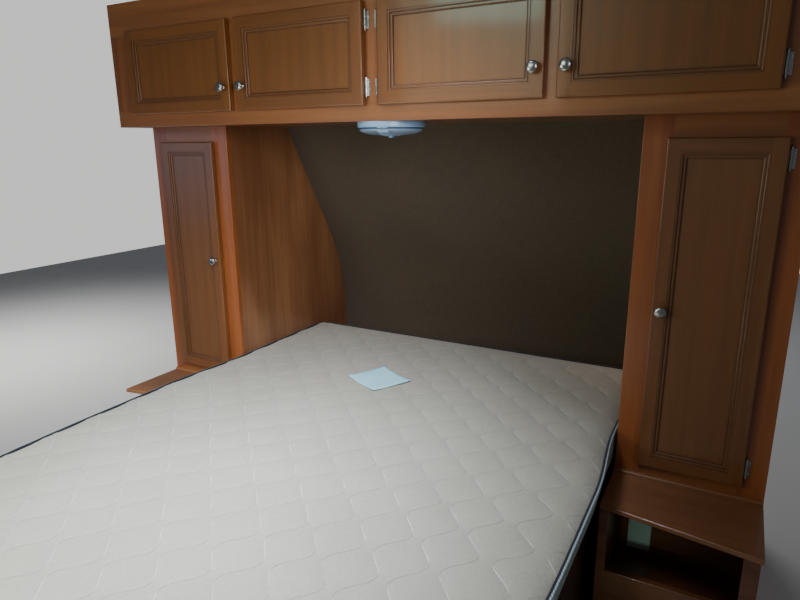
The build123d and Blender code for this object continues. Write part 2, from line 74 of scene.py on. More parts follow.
def makeCamera(view):
    turn, tilt, roll = (math.radians(view[key]) for key in ("turnLeft", "tiltDown", "roll"))
    ahead = Vector((-math.sin(turn) * math.cos(tilt), math.cos(turn) * math.cos(tilt), -math.sin(tilt)))
    level = Vector((math.cos(turn), math.sin(turn), 0.0))
    upright = level.cross(ahead)
    side = level * math.cos(roll) + upright * math.sin(roll)
    up = upright * math.cos(roll) - level * math.sin(roll)
    data = bpy.data.cameras.new("photoCamera")
    data.sensor_width = view["sensor"]
    data.sensor_fit = "HORIZONTAL"
    data.lens = view["sensor"] * view["focalPixels"] / view["widthPixels"]
    data.clip_start = view["nearest"]
    camera = addObject("photoCamera", data)
    camera.matrix_world = Matrix.Translation(view["place"]) @ Matrix((side, up, -ahead)).transposed().to_4x4()
    bpy.context.scene.camera = camera


makeCamera(cameraView)


# Node helpers: a socket is linked, anything else is set as the input's value

def put(tree, kind, inputs=None, **settings):
    node = tree.nodes.new(kind)
    for key, value in settings.items():
        setattr(node, key, value)
    for key, value in (inputs or {}).items():
        if isinstance(value, bpy.types.NodeSocket):
            tree.links.new(value, node.inputs[key])
        else:
            node.inputs[key].default_value = value
    return node


def calc(tree, operation, *values):
    return put(tree, "ShaderNodeMath", dict(enumerate(values)), operation=operation).outputs[0]


def plus(tree, first, second):
    return calc(tree, "ADD", first, second)


def minus(tree, first, second):
    return calc(tree, "SUBTRACT", first, second)


def times(tree, first, second):
    return calc(tree, "MULTIPLY", first, second)


# Each value times its share, added up
def shared(tree, *pairs):
    parts = [times(tree, value, share) for value, share in pairs]
    total = parts[0]
    for part in parts[1:]:
        total = plus(tree, total, part)
    return total


# Round ridges, one for each unit of the value
def ridged(tree, value):
    return calc(tree, "ABSOLUTE", calc(tree, "SINE", times(tree, value, math.pi)))


def vectorCalc(tree, operation, *values):
    return put(tree, "ShaderNodeVectorMath", dict(enumerate(values)), operation=operation).outputs[0]


def scaled(tree, vector, scale):
    return vectorCalc(tree, "MULTIPLY", vector, scale)


def joined(tree, x, y, z):
    return put(tree, "ShaderNodeCombineXYZ", {0: x, 1: y, 2: z}).outputs[0]


def parted(tree, vector):
    return put(tree, "ShaderNodeSeparateXYZ", {0: vector}).outputs


def mixVector(tree, factor, first, second):
    return put(tree, "ShaderNodeMix", {0: factor, 4: first, 5: second}, data_type="VECTOR").outputs[1]


def mixColour(tree, factor, first, second, blend="MIX"):
    mixer = put(tree, "ShaderNodeMix", {0: factor, 6: first, 7: second}, data_type="RGBA", blend_type=blend)
    return mixer.outputs[2]


def remap(tree, value, low, high, newLow=0.0, newHigh=1.0):
    return put(tree, "ShaderNodeMapRange", {0: value, 1: low, 2: high, 3: newLow, 4: newHigh}).outputs[0]


def noise(tree, vector, scale, detail=2.0, roughness=0.5):
    return put(tree, "ShaderNodeTexNoise",
               {"Vector": vector, "Scale": scale, "Detail": detail, "Roughness": roughness}).outputs[0]


def attribute(tree, name):
    return put(tree, "ShaderNodeAttribute", attribute_name=name).outputs["Fac"]


# Inputs are rows of name, kind and, where it has one, a starting value. Outputs are rows of name and kind
def makeGroup(name, inputs, outputs, kind="ShaderNodeTree"):
    group = bpy.data.node_groups.new(name, kind)
    for label, socketKind, *start in inputs:
        socket = group.interface.new_socket(name=label, in_out="INPUT", socket_type="NodeSocket" + socketKind)
        if start:
            socket.default_value = start[0]
    for label, socketKind in outputs:
        group.interface.new_socket(name=label, in_out="OUTPUT", socket_type="NodeSocket" + socketKind)
    return group, put(group, "NodeGroupInput").outputs, put(group, "NodeGroupOutput").inputs


def send(group, out, values):
    for label, value in values.items():
        group.links.new(value, out[label])


def useGroup(tree, group, inputs):
    return put(tree, "ShaderNodeGroup", inputs, node_tree=group).outputs


# A material with its Principled shader, and the values that are the same all over it
def newMaterial(name, **values):
    material = bpy.data.materials.new(name)
    material.use_nodes = True
    tree = material.node_tree
    shader = tree.nodes["Principled BSDF"]
    for key, value in values.items():
        shader.inputs[key.replace("_", " ")].default_value = value
    return material, tree, shader


def feed(tree, shader, colour, roughness=None, height=None, bumpDistance=0.001, bumpStrength=1.0):
    tree.links.new(colour, shader.inputs["Base Color"])
    if roughness is not None:
        tree.links.new(roughness, shader.inputs["Roughness"])
    if height is not None:
        bump = put(tree, "ShaderNodeBump",
                   {"Height": height, "Distance": bumpDistance, "Strength": bumpStrength})
        tree.links.new(bump.outputs[0], shader.inputs["Normal"])


def objectPlace(tree):
    return put(tree, "ShaderNodeTexCoord").outputs["Object"]


# Studio: pale floor, soft lights, pale surroundings

studio = {
    "floorSize": 14.0,
    "floorColour": (0.80, 0.79, 0.77),
    "floorMottle": (0.96, 1.04),         # darkest and lightest, as shares of the colour
    "mottleScale": 3.0,
    "seenColour": (0.78, 0.78, 0.77, 1),
    "skyColour": (0.86, 0.91, 1.0, 1),
    "skyStrength": 0.12,
}
# name, place, aim, width, height, watts, beam in degrees, colour
lightTable = [
    ("bedLight", (0.20, -1.12, 2.2), (-0.14, -0.52, 0.71), 0.6, 0.6, 13.8, 74, (0.90, 1.0, 1.18)),
    ("leftLight", (-0.95, -1.55, 1.3), (-0.25, -0.85, 0.7), 0.7, 0.6, 8.5, 180, (0.97, 1.01, 0.92)),
    ("doorLight", (-0.8, -2.8, 2.25), (0.3, 0.1, 1.6), 1.2, 0.9, 7.5, 180, (1.08, 0.99, 0.74)),
    ("sideLight", (1.0, -1.0, 1.75), (-0.75, 0.55, 1.2), 0.5, 0.5, 1.9, 60, (1.05, 0.98, 1.0)),
    ("panelLight", (-0.95, -3.3, 2.80), (0.35, 0.1, 1.95), 0.9, 0.6, 0.36, 34, (0.44, 1.0, 0.92)),
    ("mouldingLight", (-0.28, -0.88, 2.75), (0.24, 0.1, 1.655), 0.50, 0.05, 0.17, 16, (1.0, 0.86, 0.88)),
    ("sheenLight", (-2.5, -1.4, 1.25), (-0.85, 0.27, 0.95), 0.9, 0.8, 0.14, 30, (0.55, 0.80, 1.3)),
    ("cubbyLight", (0.75, -1.6, 0.75), (0.845, 0.34, 0.32), 0.10, 0.10, 0.018, 14, (0.66, 1.0, 0.86)),
    ("backLight", (-1.5, 4.2, 2.6), (0.0, 0.5, 1.0), 2.5, 2.0, 45.0, 180, (1.0, 1.0, 1.0)),
    ("leftFloorLight", (-3.8, 0.5, 2.6), (-3.7, 0.9, 0.0), 1.5, 1.5, 26.0, 90, (1.0, 1.0, 1.0)),
    ("rightFloorLight", (4.4, 1.2, 2.6), (4.4, 1.4, 0.0), 1.5, 1.5, 12.0, 90, (1.0, 1.0, 1.0)),
]


def makeFloor(look):
    mesh = bpy.data.meshes.new("studioFloor")
    half = look["floorSize"] / 2
    corners = [(-half, -half, 0), (half, -half, 0), (half, half, 0), (-half, half, 0)]
    mesh.from_pydata(corners, [], [(0, 1, 2, 3)])
    floor = addObject("studioFloor", mesh)
    material, tree, shader = newMaterial("floorPaint", Roughness=0.7)
    mottle = noise(tree, objectPlace(tree), look["mottleScale"], 3.0)
    shade = remap(tree, mottle, 0.0, 1.0, *look["floorMottle"])
    feed(tree, shader, scaled(tree, look["floorColour"], joined(tree, shade, shade, shade)))
    mesh.materials.append(material)


def makeSky(look):
    world = bpy.data.worlds.new("studioWorld")
    world.use_nodes = True
    tree = world.node_tree
    tree.nodes.clear()
    seen = put(tree, "ShaderNodeBackground", {"Color": look["seenColour"], "Strength": 1.0})
    sky = put(tree, "ShaderNodeBackground", {"Color": look["skyColour"], "Strength": look["skyStrength"]})
    straight = put(tree, "ShaderNodeLightPath").outputs["Is Camera Ray"]
    mixer = put(tree, "ShaderNodeMixShader", {0: straight, 1: sky.outputs[0], 2: seen.outputs[0]})
    put(tree, "ShaderNodeOutputWorld", {0: mixer.outputs[0]})
    bpy.context.scene.world = world


def makeLights(rows):
    for name, where, aim, width, height, watts, beam, colour in rows:
        data = bpy.data.lights.new(name, "AREA")
        data.shape = "RECTANGLE"
        data.size = width
        data.size_y = height
        data.energy = watts
        data.spread = math.radians(beam)
        data.color = colour
        lamp = addObject(name, data)
        lamp.visible_camera = False
        lamp.location = where
        lamp.rotation_euler = (Vector(aim) - Vector(where)).to_track_quat("-Z", "Y").to_euler()


makeFloor(studio)
makeSky(studio)
makeLights(lightTable)
print("camera and studio ready")


# Board grain, which runs along the vector's Z

grainLook = {
    "seedShift": (3.71, 1.93, 5.37),   # how far each next board's pattern lies from the last one's
    "toneScale": 3.5,
    "toneLong": (1, 1, 0.22),          # drawn out along the grain
    "streakScale": 75.0,
    "streakLong": (1, 1, 0.035),
    "fibreScale": 620.0,
    "fibreLong": (1, 1, 0.02),
    "ringScale": 5.0,
    "ringLong": (1, 0.3, 0.09),
    "ringWarp": 9.0,
    "shares": (0.55, 0.45, 0.32),      # of tone, streaks and rings in the colour
    "contrast": (0.30, 0.72),
    "poreFrom": (0.66, 0.78),
    "poreDepth": 0.55,
    "roughness": 0.30,
    "streakRoughness": 0.16,
    "streakHeight": 0.5,
}


def buildBoardGrain(look):
    group, given, out = makeGroup(
        "boardGrain",
        [("Vector", "Vector"), ("Light", "Color"), ("Dark", "Color"), ("Figure", "Float", 0.5),
         ("Pores", "Float", 0.5), ("Seed", "Float", 0.0)],
        [("Color", "Color"), ("Roughness", "Float"), ("Height", "Float")])
    shift = joined(group, *(times(group, given["Seed"], step) for step in look["seedShift"]))
    spot = vectorCalc(group, "ADD", given["Vector"], shift)
    tone = noise(group, scaled(group, spot, look["toneLong"]), look["toneScale"])
    streak = noise(group, scaled(group, spot, look["streakLong"]), look["streakScale"], 4.0, 0.6)
    fibre = noise(group, scaled(group, spot, look["fibreLong"]), look["fibreScale"], 1.0)
    rings = put(group, "ShaderNodeTexWave",
                {"Vector": scaled(group, spot, look["ringLong"]), "Scale": look["ringScale"],
                 "Distortion": look["ringWarp"], "Detail": 3.0, "Detail Scale": 1.4,
                 "Detail Roughness": 0.55},
                wave_type="BANDS", bands_direction="X").outputs["Fac"]
    figure = times(group, minus(group, rings, 0.5), given["Figure"])
    blend = remap(group, shared(group, *zip((tone, streak, figure), look["shares"])), *look["contrast"])
    colour = mixColour(group, blend, given["Dark"], given["Light"])
    pore = times(group, remap(group, fibre, *look["poreFrom"]), given["Pores"])
    send(group, out, {
        "Color": mixColour(group, times(group, pore, look["poreDepth"]), colour, given["Dark"], "MULTIPLY"),
        "Roughness": plus(group, look["roughness"], times(group, streak, look["streakRoughness"])),
        "Height": minus(group, times(group, streak, look["streakHeight"]), pore)})
    return group


boardGrain = buildBoardGrain(grainLook)

# Wood finishes: grain axis, light and dark colour, figure, pores, seed
woodTable = {
    "stileWood": ("z", (0.344, 0.122, 0.032, 1), (0.205, 0.063, 0.015, 1), 0.5, 0.5, 1.0),
    "redStileWood": ("z", (0.405, 0.124, 0.032, 1), (0.250, 0.066, 0.015, 1), 0.5, 0.5, 1.0),
    "railWood": ("x", (0.363, 0.140, 0.038, 1), (0.233, 0.079, 0.020, 1), 0.5, 0.5, 2.0),
    "sideWood": ("z", (0.420, 0.200, 0.085, 1), (0.215, 0.086, 0.034, 1), 1.0, 0.7, 3.0),
    "ledgeWood": ("x", (0.400, 0.175, 0.070, 1), (0.245, 0.100, 0.040, 1), 0.8, 0.6, 4.0),
    "boxWood": ("x", (0.24, 0.088, 0.032, 1), (0.14, 0.046, 0.016, 1), 0.5, 0.5, 5.0),
    # Base boards: colour darkened nearly to black as painted shade, for the deep shadow beside and under the
    # bed
    "shadedBaseWood": ("y", (0.024, 0.011, 0.006, 1), (0.013, 0.006, 0.003, 1), 0.6, 0.6, 8.0),
    "plainPly": ("y", (0.50, 0.31, 0.16, 1), (0.35, 0.20, 0.10, 1), 0.9, 0.8, 6.0),
    "plainPlyAcross": ("x", (0.48, 0.30, 0.155, 1), (0.34, 0.19, 0.095, 1), 0.9, 0.8, 7.0),
}
lacquer = {"Coat_Weight": 0.45, "Coat_Roughness": 0.09}
bareRoughness = 0.35                   # what wood without lacquer adds


# The piece's own coordinates, turned so that the grain's axis is Z
def alongGrain(tree, axis):
    spot = objectPlace(tree)
    if axis == "z":
        return spot
    x, y, z = parted(tree, spot)
    return joined(tree, z, y, x) if axis == "x" else joined(tree, x, z, y)


def makeWood(name):
    axis, light, dark, figure, pores, seed = woodTable[name]
    bare = name.startswith("plain")
    material, tree, shader = newMaterial(name, **({} if bare else lacquer))
    grain = useGroup(tree, boardGrain, {"Vector": alongGrain(tree, axis), "Light": light, "Dark": dark,
                                        "Figure": figure, "Pores": pores, "Seed": seed})
    rough = plus(tree, grain["Roughness"], bareRoughness) if bare else grain["Roughness"]
    feed(tree, shader, grain["Color"], rough, grain["Height"], bumpDistance=0.0004, bumpStrength=0.5)
    return material


# Door wood: grain along each stile and rail, and dark glaze gathered in the moulding

doorLook = {
    "stile": 0.037,
    "moulding": 0.016,
    "bead": 0.007,
    "frameLight": (0.250, 0.088, 0.0130),
    "frameDark": (0.170, 0.058, 0.0085),
    "panelLight": (0.246, 0.088, 0.0128),
    "panelDark": (0.178, 0.063, 0.0092),
    "wardrobeTint": (0.92, 0.97, 1.8),
    "figure": 0.35,
    "pores": 0.5,
    "frameSeed": (11.0, 2.3),          # of the first door, and the step to the next one
    "panelSeed": (31.0, 1.7),
    "railSeed": 3.4,
    "glaze": (0.040, 0.016, 0.007, 1),
    "glazeShare": 0.6,
    "glazeRoughness": 0.15,
    "rimLine": (0.0026, 1.0),          # half width and depth of the lines at the moulding's rim, between
    "beadLine": (0.0022, 1.0),         # its ridges and round the panel
    "panelLine": (0.0013, 0.8),
    "lineCore": 0.25,                  # share of a line's width that is at full depth
    "mouldingFrom": -0.004,
    "mouldingGlaze": 0.35,
    "mitreLine": (0.0007, 0.7),        # where two mouldings meet, and where a rail meets a stile
    "jointLine": (0.0006, 0.45),
    "cutCore": 0.0002,
    "patchScale": 40.0,
    "patches": (0.3, 0.7, 0.7, 1.0),   # noise from and to, and the glaze left there
}


# Inputs in metres. Gives which spots lie on a rail, a seed for each member, and the glaze
def buildDoorLayout(look):
    group, given, out = makeGroup(
        "doorLayout",
        [("Vector", "Vector"), ("Centre X", "Float", 0.0), ("Centre Z", "Float", 0.0),
         ("Half Width", "Float", 0.25), ("Half Height", "Float", 0.15), ("Stile", "Float", 0.05),
         ("Moulding", "Float", 0.015), ("Bead", "Float", 0.006)],
        [("Rail", "Float"), ("Seed", "Float"), ("Glaze", "Float")])
    spot = parted(group, given["Vector"])
    x = minus(group, spot[0], given["Centre X"])
    z = minus(group, spot[2], given["Centre Z"])
    absX, absZ = (calc(group, "ABSOLUTE", value) for value in (x, z))
    stileEdge = minus(group, given["Half Width"], given["Stile"])
    railEdge = minus(group, given["Half Height"], given["Stile"])
    outX = minus(group, absX, minus(group, stileEdge, given["Moulding"]))
    outZ = minus(group, absZ, minus(group, railEdge, given["Moulding"]))
    reach = calc(group, "MAXIMUM", outX, outZ)
    isRail = times(group, calc(group, "LESS_THAN", absX, stileEdge), calc(group, "GREATER_THAN", outZ, outX))
    stileSeed = calc(group, "SIGN", x)
    railSeed = plus(group, calc(group, "SIGN", z), look["railSeed"])
    glaze = []

    def drawLine(value, where, outer, core, depth):
        away = calc(group, "ABSOLUTE", minus(group, value, where))
        return times(group, remap(group, away, outer, core), depth)

    for name, where in (("rimLine", 0.0), ("beadLine", minus(group, given["Moulding"], given["Bead"])),
                        ("panelLine", given["Moulding"])):
        width, depth = look[name]
        glaze.append(drawLine(reach, where, width, width * look["lineCore"], depth))
    inMoulding = times(group, calc(group, "GREATER_THAN", reach, look["mouldingFrom"]),
                       calc(group, "LESS_THAN", reach, given["Moulding"]))
    glaze.append(times(group, inMoulding, look["mouldingGlaze"]))
    width, depth = look["mitreLine"]
    glaze.append(times(group, drawLine(outX, outZ, width, look["cutCore"], depth), inMoulding))
    width, depth = look["jointLine"]
    joint = drawLine(absX, stileEdge, width, look["cutCore"], depth)
    glaze.append(times(group, joint, calc(group, "GREATER_THAN", absZ, railEdge)))
    darkest = glaze[0]
    for part in glaze[1:]:
        darkest = calc(group, "MAXIMUM", darkest, part)
    seed = plus(group, times(group, isRail, railSeed), times(group, minus(group, 1.0, isRail), stileSeed))
    patchy = remap(group, noise(group, given["Vector"], look["patchScale"]), *look["patches"])
    send(group, out, {"Rail": isRail, "Seed": seed, "Glaze": times(group, darkest, patchy)})
    return group


doorLayout = buildDoorLayout(doorLook)


def makeDoorWood(door, part, index):
    low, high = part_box(f"{door}_frame")
    firstSeed, seedStep = doorLook[part + "Seed"]
    seed = firstSeed + seedStep * index
    material, tree, shader = newMaterial(f"{door}_{part}_wood", **lacquer)
    spot = objectPlace(tree)
    layout = useGroup(tree, doorLayout, {
        "Vector": spot, "Centre X": (low.x + high.x) / 2, "Centre Z": (low.z + high.z) / 2,
        "Half Width": (high.x - low.x) / 2, "Half Height": (high.z - low.z) / 2,
        "Stile": doorLook["stile"], "Moulding": doorLook["moulding"], "Bead": doorLook["bead"]})
    if part == "frame":
        spot = mixVector(tree, layout["Rail"], spot, alongGrain(tree, "x"))
        seed = plus(tree, layout["Seed"], seed)
    tint = doorLook["wardrobeTint"] if door.startswith("wardrobe") else (1.0, 1.0, 1.0)
    light, dark = ([c * t for c, t in zip(doorLook[part + tone], tint)] + [1] for tone in ("Light", "Dark"))
    grain = useGroup(tree, boardGrain, {
        "Vector": spot, "Light": light, "Dark": dark,
        "Figure": doorLook["figure"], "Pores": doorLook["pores"], "Seed": seed})
    glazed = times(tree, layout["Glaze"], doorLook["glazeShare"])
    colour = mixColour(tree, glazed, grain["Color"], doorLook["glaze"])
    rough = plus(tree, grain["Roughness"], times(tree, layout["Glaze"], doorLook["glazeRoughness"]))
    feed(tree, shader, colour, rough, grain["Height"], bumpDistance=0.0003, bumpStrength=0.4)
    return material


# Handling marks: slow stains and fine scratches that change how a surface shines

wearLook = {
    "stainFrom": (0.35, 0.7),
    "gritFiner": 45.0,                 # how many times finer the scratches are than the stains
    "darkest": 0.86,                   # share of the colour that is left in a full stain
    "stainShare": 0.6,
    "cleanShine": 0.04,                # how much smoother a clean spot is, and what a stain adds
    "stainRoughness": 0.12,
}


def buildSurfaceWear(look):
    group, given, out = makeGroup(
        "surfaceWear",
        [("Vector", "Vector"), ("Scale", "Float", 12.0)],
        [("Stain", "Float"), ("Grit", "Float")])
    stain = noise(group, given["Vector"], given["Scale"], 4.0)
    grit = noise(group, given["Vector"], times(group, given["Scale"], look["gritFiner"]))
    send(group, out, {"Stain": remap(group, stain, *look["stainFrom"]), "Grit": grit})
    return group


surfaceWear = buildSurfaceWear(wearLook)

# Metals and plastics: colour, metallic, roughness, stain size
hardTable = {
    "satinNickel": ((0.42, 0.42, 0.41, 1), 1.0, 0.22, 60.0),
    "zincSteel": ((0.46, 0.47, 0.48, 1), 1.0, 0.42, 40.0),
    "rodChrome": ((0.62, 0.63, 0.64, 1), 1.0, 0.13, 30.0),
    "strutBlack": ((0.018, 0.018, 0.020, 1), 0.0, 0.38, 25.0),
    "lampWhite": ((0.36, 0.58, 0.86, 1), 0.0, 0.28, 20.0),
    "outletPlastic": ((0.60, 0.66, 0.60, 1), 0.0, 0.32, 30.0),
}


def makeHard(name):
    colour, metallic, roughness, scale = hardTable[name]
    material, tree, shader = newMaterial(name, Metallic=metallic)
    wear = useGroup(tree, surfaceWear, {"Vector": objectPlace(tree), "Scale": scale})
    darker = [c * wearLook["darkest"] for c in colour[:3]] + [1]
    tint = mixColour(tree, times(tree, wear["Stain"], wearLook["stainShare"]), colour, darker)
    stained = times(tree, wear["Stain"], wearLook["stainRoughness"])
    rough = plus(tree, roughness - wearLook["cleanShine"], stained)
    feed(tree, shader, tint, rough, wear["Grit"], bumpDistance=0.0001, bumpStrength=0.12)
    return material


lensLook = {
    "colour": (0.34, 0.50, 0.70, 1),
    "deep": (0.24, 0.33, 0.50, 1),
    "rim": (0.03, 0.08, 0.17, 1),
    "rimFrom": (1.6022, 1.6040),       # height over which the dark rim line comes in
    "prism": 0.004,
}


def makeLensGlass(look):
    material, tree, shader = newMaterial(
        "lampLens", Roughness=0.22, Subsurface_Weight=0.25, Subsurface_Scale=0.01)
    spot = parted(tree, objectPlace(tree))
    prism = times(tree, *(ridged(tree, times(tree, spot[i], 1 / look["prism"])) for i in (0, 1)))
    glass = mixColour(tree, prism, look["deep"], look["colour"])
    rim = remap(tree, spot[2], *look["rimFrom"])
    feed(tree, shader, mixColour(tree, rim, glass, look["rim"]), None, prism,
         bumpDistance=0.0008, bumpStrength=0.6)
    return material


# Plain weave on a flat vector: thread height and which thread is on top
def buildPlainWeave():
    group, given, out = makeGroup(
        "plainWeave",
        [("Vector", "Vector"), ("Pitch", "Float", 0.002)],
        [("Height", "Float"), ("Warp", "Float")])
    spot = parted(group, given["Vector"])
    u, v = (calc(group, "DIVIDE", spot[i], given["Pitch"]) for i in (0, 1))
    cell = plus(group, calc(group, "FLOOR", u), calc(group, "FLOOR", v))
    warp = calc(group, "GREATER_THAN", calc(group, "FRACT", times(group, cell, 0.5)), 0.25)
    over = times(group, warp, ridged(group, u))
    under = times(group, minus(group, 1.0, warp), ridged(group, v))
    send(group, out, {"Height": plus(group, over, under), "Warp": warp})
    return group


plainWeave = buildPlainWeave()

wallLook = {
    "thread": 0.0021,
    "light": (0.122, 0.086, 0.046, 1),
    "dark": (0.062, 0.044, 0.023, 1),
    "shares": (0.35, 0.35, 0.3),       # of level slubs, upright slubs and clouds in the tone
    "toneFrom": (0.35, 0.65, 0.0, 0.8),    # value from and to, and what it becomes there
    "roughness": (0.3, 0.7, 0.8, 0.95),
    "warpShare": 0.2,
    "slubScale": 26.0,
    "slubLong": 6,                    # a slub is this many times longer than thick
    "cloudScale": 4.0,
}


def makeWallCloth(look):
    material, tree, shader = newMaterial("wallCloth", Sheen_Weight=0.25, Sheen_Roughness=0.5)
    spot = parted(tree, objectPlace(tree))
    flat = joined(tree, spot[0], spot[2], 0.0)
    weave = useGroup(tree, plainWeave, {"Vector": flat, "Pitch": look["thread"]})
    slubs = [noise(tree, scaled(tree, flat, way), look["slubScale"], 3.0)
             for way in ((1, look["slubLong"], 1), (look["slubLong"], 1, 1))]
    cloud = noise(tree, flat, look["cloudScale"], 3.0)
    tone = remap(tree, shared(tree, *zip((*slubs, cloud), look["shares"])), *look["toneFrom"])
    tone = plus(tree, tone, times(tree, weave["Warp"], look["warpShare"]))
    feed(tree, shader, mixColour(tree, tone, look["dark"], look["light"]),
         remap(tree, cloud, *look["roughness"]), weave["Height"], bumpDistance=0.0008, bumpStrength=0.8)
    return material


clothLook = {
    "top": (0.50, 0.468, 0.375, 1),
    "topShade": (0.42, 0.385, 0.300, 1),
    "band": (0.50, 0.59, 0.53, 1),
    "bandShade": (0.34, 0.41, 0.37, 1),
    "knit": 0.0016,
    "heatherScale": 260.0,             # short flecks that run along the bed
    "heatherLong": (1, 0.35, 1),
    "cloudScale": 3.0,
    "shares": (0.6, 0.4),              # of flecks and clouds in the tone
    "toneFrom": (0.35, 0.62),
    "roughness": (0.3, 0.7, 0.72, 0.88),
}


def makeTicking(name, colour, shade):
    material, tree, shader = newMaterial(name, Sheen_Weight=0.3, Sheen_Roughness=0.4)
    spot = objectPlace(tree)
    weave = useGroup(tree, plainWeave, {"Vector": spot, "Pitch": clothLook["knit"]})
    heather = noise(tree, scaled(tree, spot, clothLook["heatherLong"]), clothLook["heatherScale"], 3.0)
    cloud = noise(tree, spot, clothLook["cloudScale"])
    flecked = shared(tree, *zip((heather, cloud), clothLook["shares"]))
    tone = remap(tree, flecked, *clothLook["toneFrom"])
    feed(tree, shader, mixColour(tree, tone, shade, colour), remap(tree, heather, *clothLook["roughness"]),
         weave["Height"], bumpDistance=0.0004, bumpStrength=0.45)
    return material


# Slanting stripes outside; the inner side, where the tape meets the quilted top, is navy and darkened nearly
# to black as painted shadow
tapeClothLook = {
    "light": (0.76, 0.86, 0.89, 1),
    "stripe": (0.40, 0.49, 0.54, 1),
    # the tape's navy inner side, darkened nearly to black as painted shadow
    "inside": (0.004, 0.007, 0.012, 1),
    "navyShadowFrom": (0.34, 0.42),        # part of the way round the bead where the navy side with its painted shadow starts
    "navyShadowTo": (0.82, 0.77),
    "stripeLength": 0.0115,
    "stripeSlant": 3.0,                # stripes that one turn round the bead crosses
    "stripeFrom": (-0.3, 0.5),         # of a wave from -1 to 1, where it is all stripe and all light
}


def makeTapeCloth(look):
    material, tree, shader = newMaterial("tapeCloth", Sheen_Weight=0.2, Roughness=0.8)
    run, turn = attribute(tree, "alongTape"), attribute(tree, "aroundTape")
    stripes = calc(tree, "DIVIDE", run, look["stripeLength"])
    slant = plus(tree, stripes, times(tree, turn, look["stripeSlant"]))
    ridge = calc(tree, "SINE", times(tree, slant, 2 * math.pi))
    striped = mixColour(tree, remap(tree, ridge, *look["stripeFrom"]), look["stripe"], look["light"])
    # navy edge and painted shadow on the bead's inner side
    inside = times(tree, remap(tree, turn, *look["navyShadowFrom"]), remap(tree, turn, *look["navyShadowTo"]))
    feed(tree, shader, mixColour(tree, inside, striped, look["inside"]), None, ridge,
         bumpDistance=0.0006, bumpStrength=0.6)
    return material


# Quilting thread with painted glints: a lighter colour painted in patches on stretches of seam that run one
# way, full towards the foot and faint towards the head
threadLook = {
    "colour": (0.45, 0.43, 0.36, 1),
    # colour of the painted highlight on the thread
    "gleam": (1.0, 0.99, 0.93, 1),
    "fade": (0.08, -0.25),             # along the bed, where the painted glints start and where they are full
    "fadeTurn": 0.3,
    "faintest": 0.15,                  # share of a painted glint that is left at the head
    "patchScale": 7.0,
    "patchFrom": (0.40, 0.62),
    "footPatches": 0.12,               # how much wider the patches are at the foot
    "twistScale": 900.0,
    "twistShine": (0.2, 0.8, 0.7, 1.0),
}


def makeThread(look):
    material, tree, shader = newMaterial("quiltThread", Sheen_Weight=0.2, Roughness=0.2)
    spot = objectPlace(tree)
    place = parted(tree, spot)
    twist = noise(tree, spot, look["twistScale"], 1.0)
    foot = remap(tree, calc(tree, "MULTIPLY_ADD", place["X"], look["fadeTurn"], place["Y"]), *look["fade"])
    patch = calc(tree, "MULTIPLY_ADD", foot, look["footPatches"], noise(tree, spot, look["patchScale"], 1.0))
    # painted highlight: the thread's colour is mixed towards the glint colour in patches
    paintedShine = times(tree, attribute(tree, "gleam"), remap(tree, twist, *look["twistShine"]))
    paintedShine = times(tree, paintedShine, remap(tree, patch, *look["patchFrom"]))
    paintedShine = times(tree, paintedShine, remap(tree, foot, 0.0, 1.0, look["faintest"], 1.0))
    feed(tree, shader, mixColour(tree, paintedShine, look["colour"], look["gleam"]), None, twist,
         bumpDistance=0.0002)
    return material


paperLook = {
    "white": (0.56, 0.96, 1.0, 1),
    "shade": (0.47, 0.88, 1.0, 1),
    "fibreScale": 700.0,
    "cloudScale": 18.0,
    "cloudFrom": (0.4, 0.65),
    "roughness": (0.2, 0.8, 0.5, 0.65),
}


def makePaper(look):
    material, tree, shader = newMaterial("cardPaper")
    spot = objectPlace(tree)
    fibre = noise(tree, spot, look["fibreScale"], 3.0)
    cloud = remap(tree, noise(tree, spot, look["cloudScale"]), *look["cloudFrom"])
    feed(tree, shader, mixColour(tree, cloud, look["white"], look["shade"]),
         remap(tree, fibre, *look["roughness"]), fibre, bumpDistance=0.0001, bumpStrength=0.5)
    return material


finish = {name: makeWood(name) for name in woodTable}
finish.update({name: makeHard(name) for name in hardTable})
finish["lampLens"] = makeLensGlass(lensLook)
finish["wallCloth"] = makeWallCloth(wallLook)
finish["topTicking"] = makeTicking("topTicking", clothLook["top"], clothLook["topShade"])
finish["bandTicking"] = makeTicking("bandTicking", clothLook["band"], clothLook["bandShade"])
finish["tapeCloth"] = makeTapeCloth(tapeClothLook)
finish["quiltThread"] = makeThread(threadLook)
finish["cardPaper"] = makePaper(paperLook)

# CAD nodes by finish
nodeFinishes = {
    "stileWood": ("overhead_stiles",),
    "redStileWood": ("wardrobe_stiles",),
    "railWood": ("wardrobe_rails", "overhead_rails", "trim_strips"),
    "sideWood": ("wardrobe_sides", "overhead_ends", "nightstand_sides"),
    "ledgeWood": ("ledge_boards",),
    "boxWood": ("overhead_boards", "overhead_dividers", "nightstand_fronts", "cubby_floors", "cubby_backs"),
    # base boards carry painted shade: their wood is darkened nearly to black
    "shadedBaseWood": ("base_sides", "base_ends"),
    "plainPly": ("deck", "head_shelf", "floor_cleats"),
    "plainPlyAcross": ("head_bulkhead",),
    "wallCloth": ("head_wall",),
    "rodChrome": ("hanging_rods", "strut_rod_left", "strut_rod_right"),
    "satinNickel": ("hinge_frame_leaves",),
    "zincSteel": ("deck_hinges", "deck_fittings", "strut_base_studs"),
    "strutBlack": ("strut_cylinder_left", "strut_cylinder_right"),
    "lampWhite": ("lamp_base", "lamp_bar"),
    "lampLens": ("lamp_lens",),
    "outletPlastic": ("outlet",),
    "cardPaper": ("paper_card",),
    "topTicking": ("mattress",),
}
doorNames = sorted(name[:-len("_frame")] for name in nodes if name.endswith("_frame"))


def dress(node, material):
    mesh = nodes[node].data
    mesh.materials.clear()
    mesh.materials.append(material)


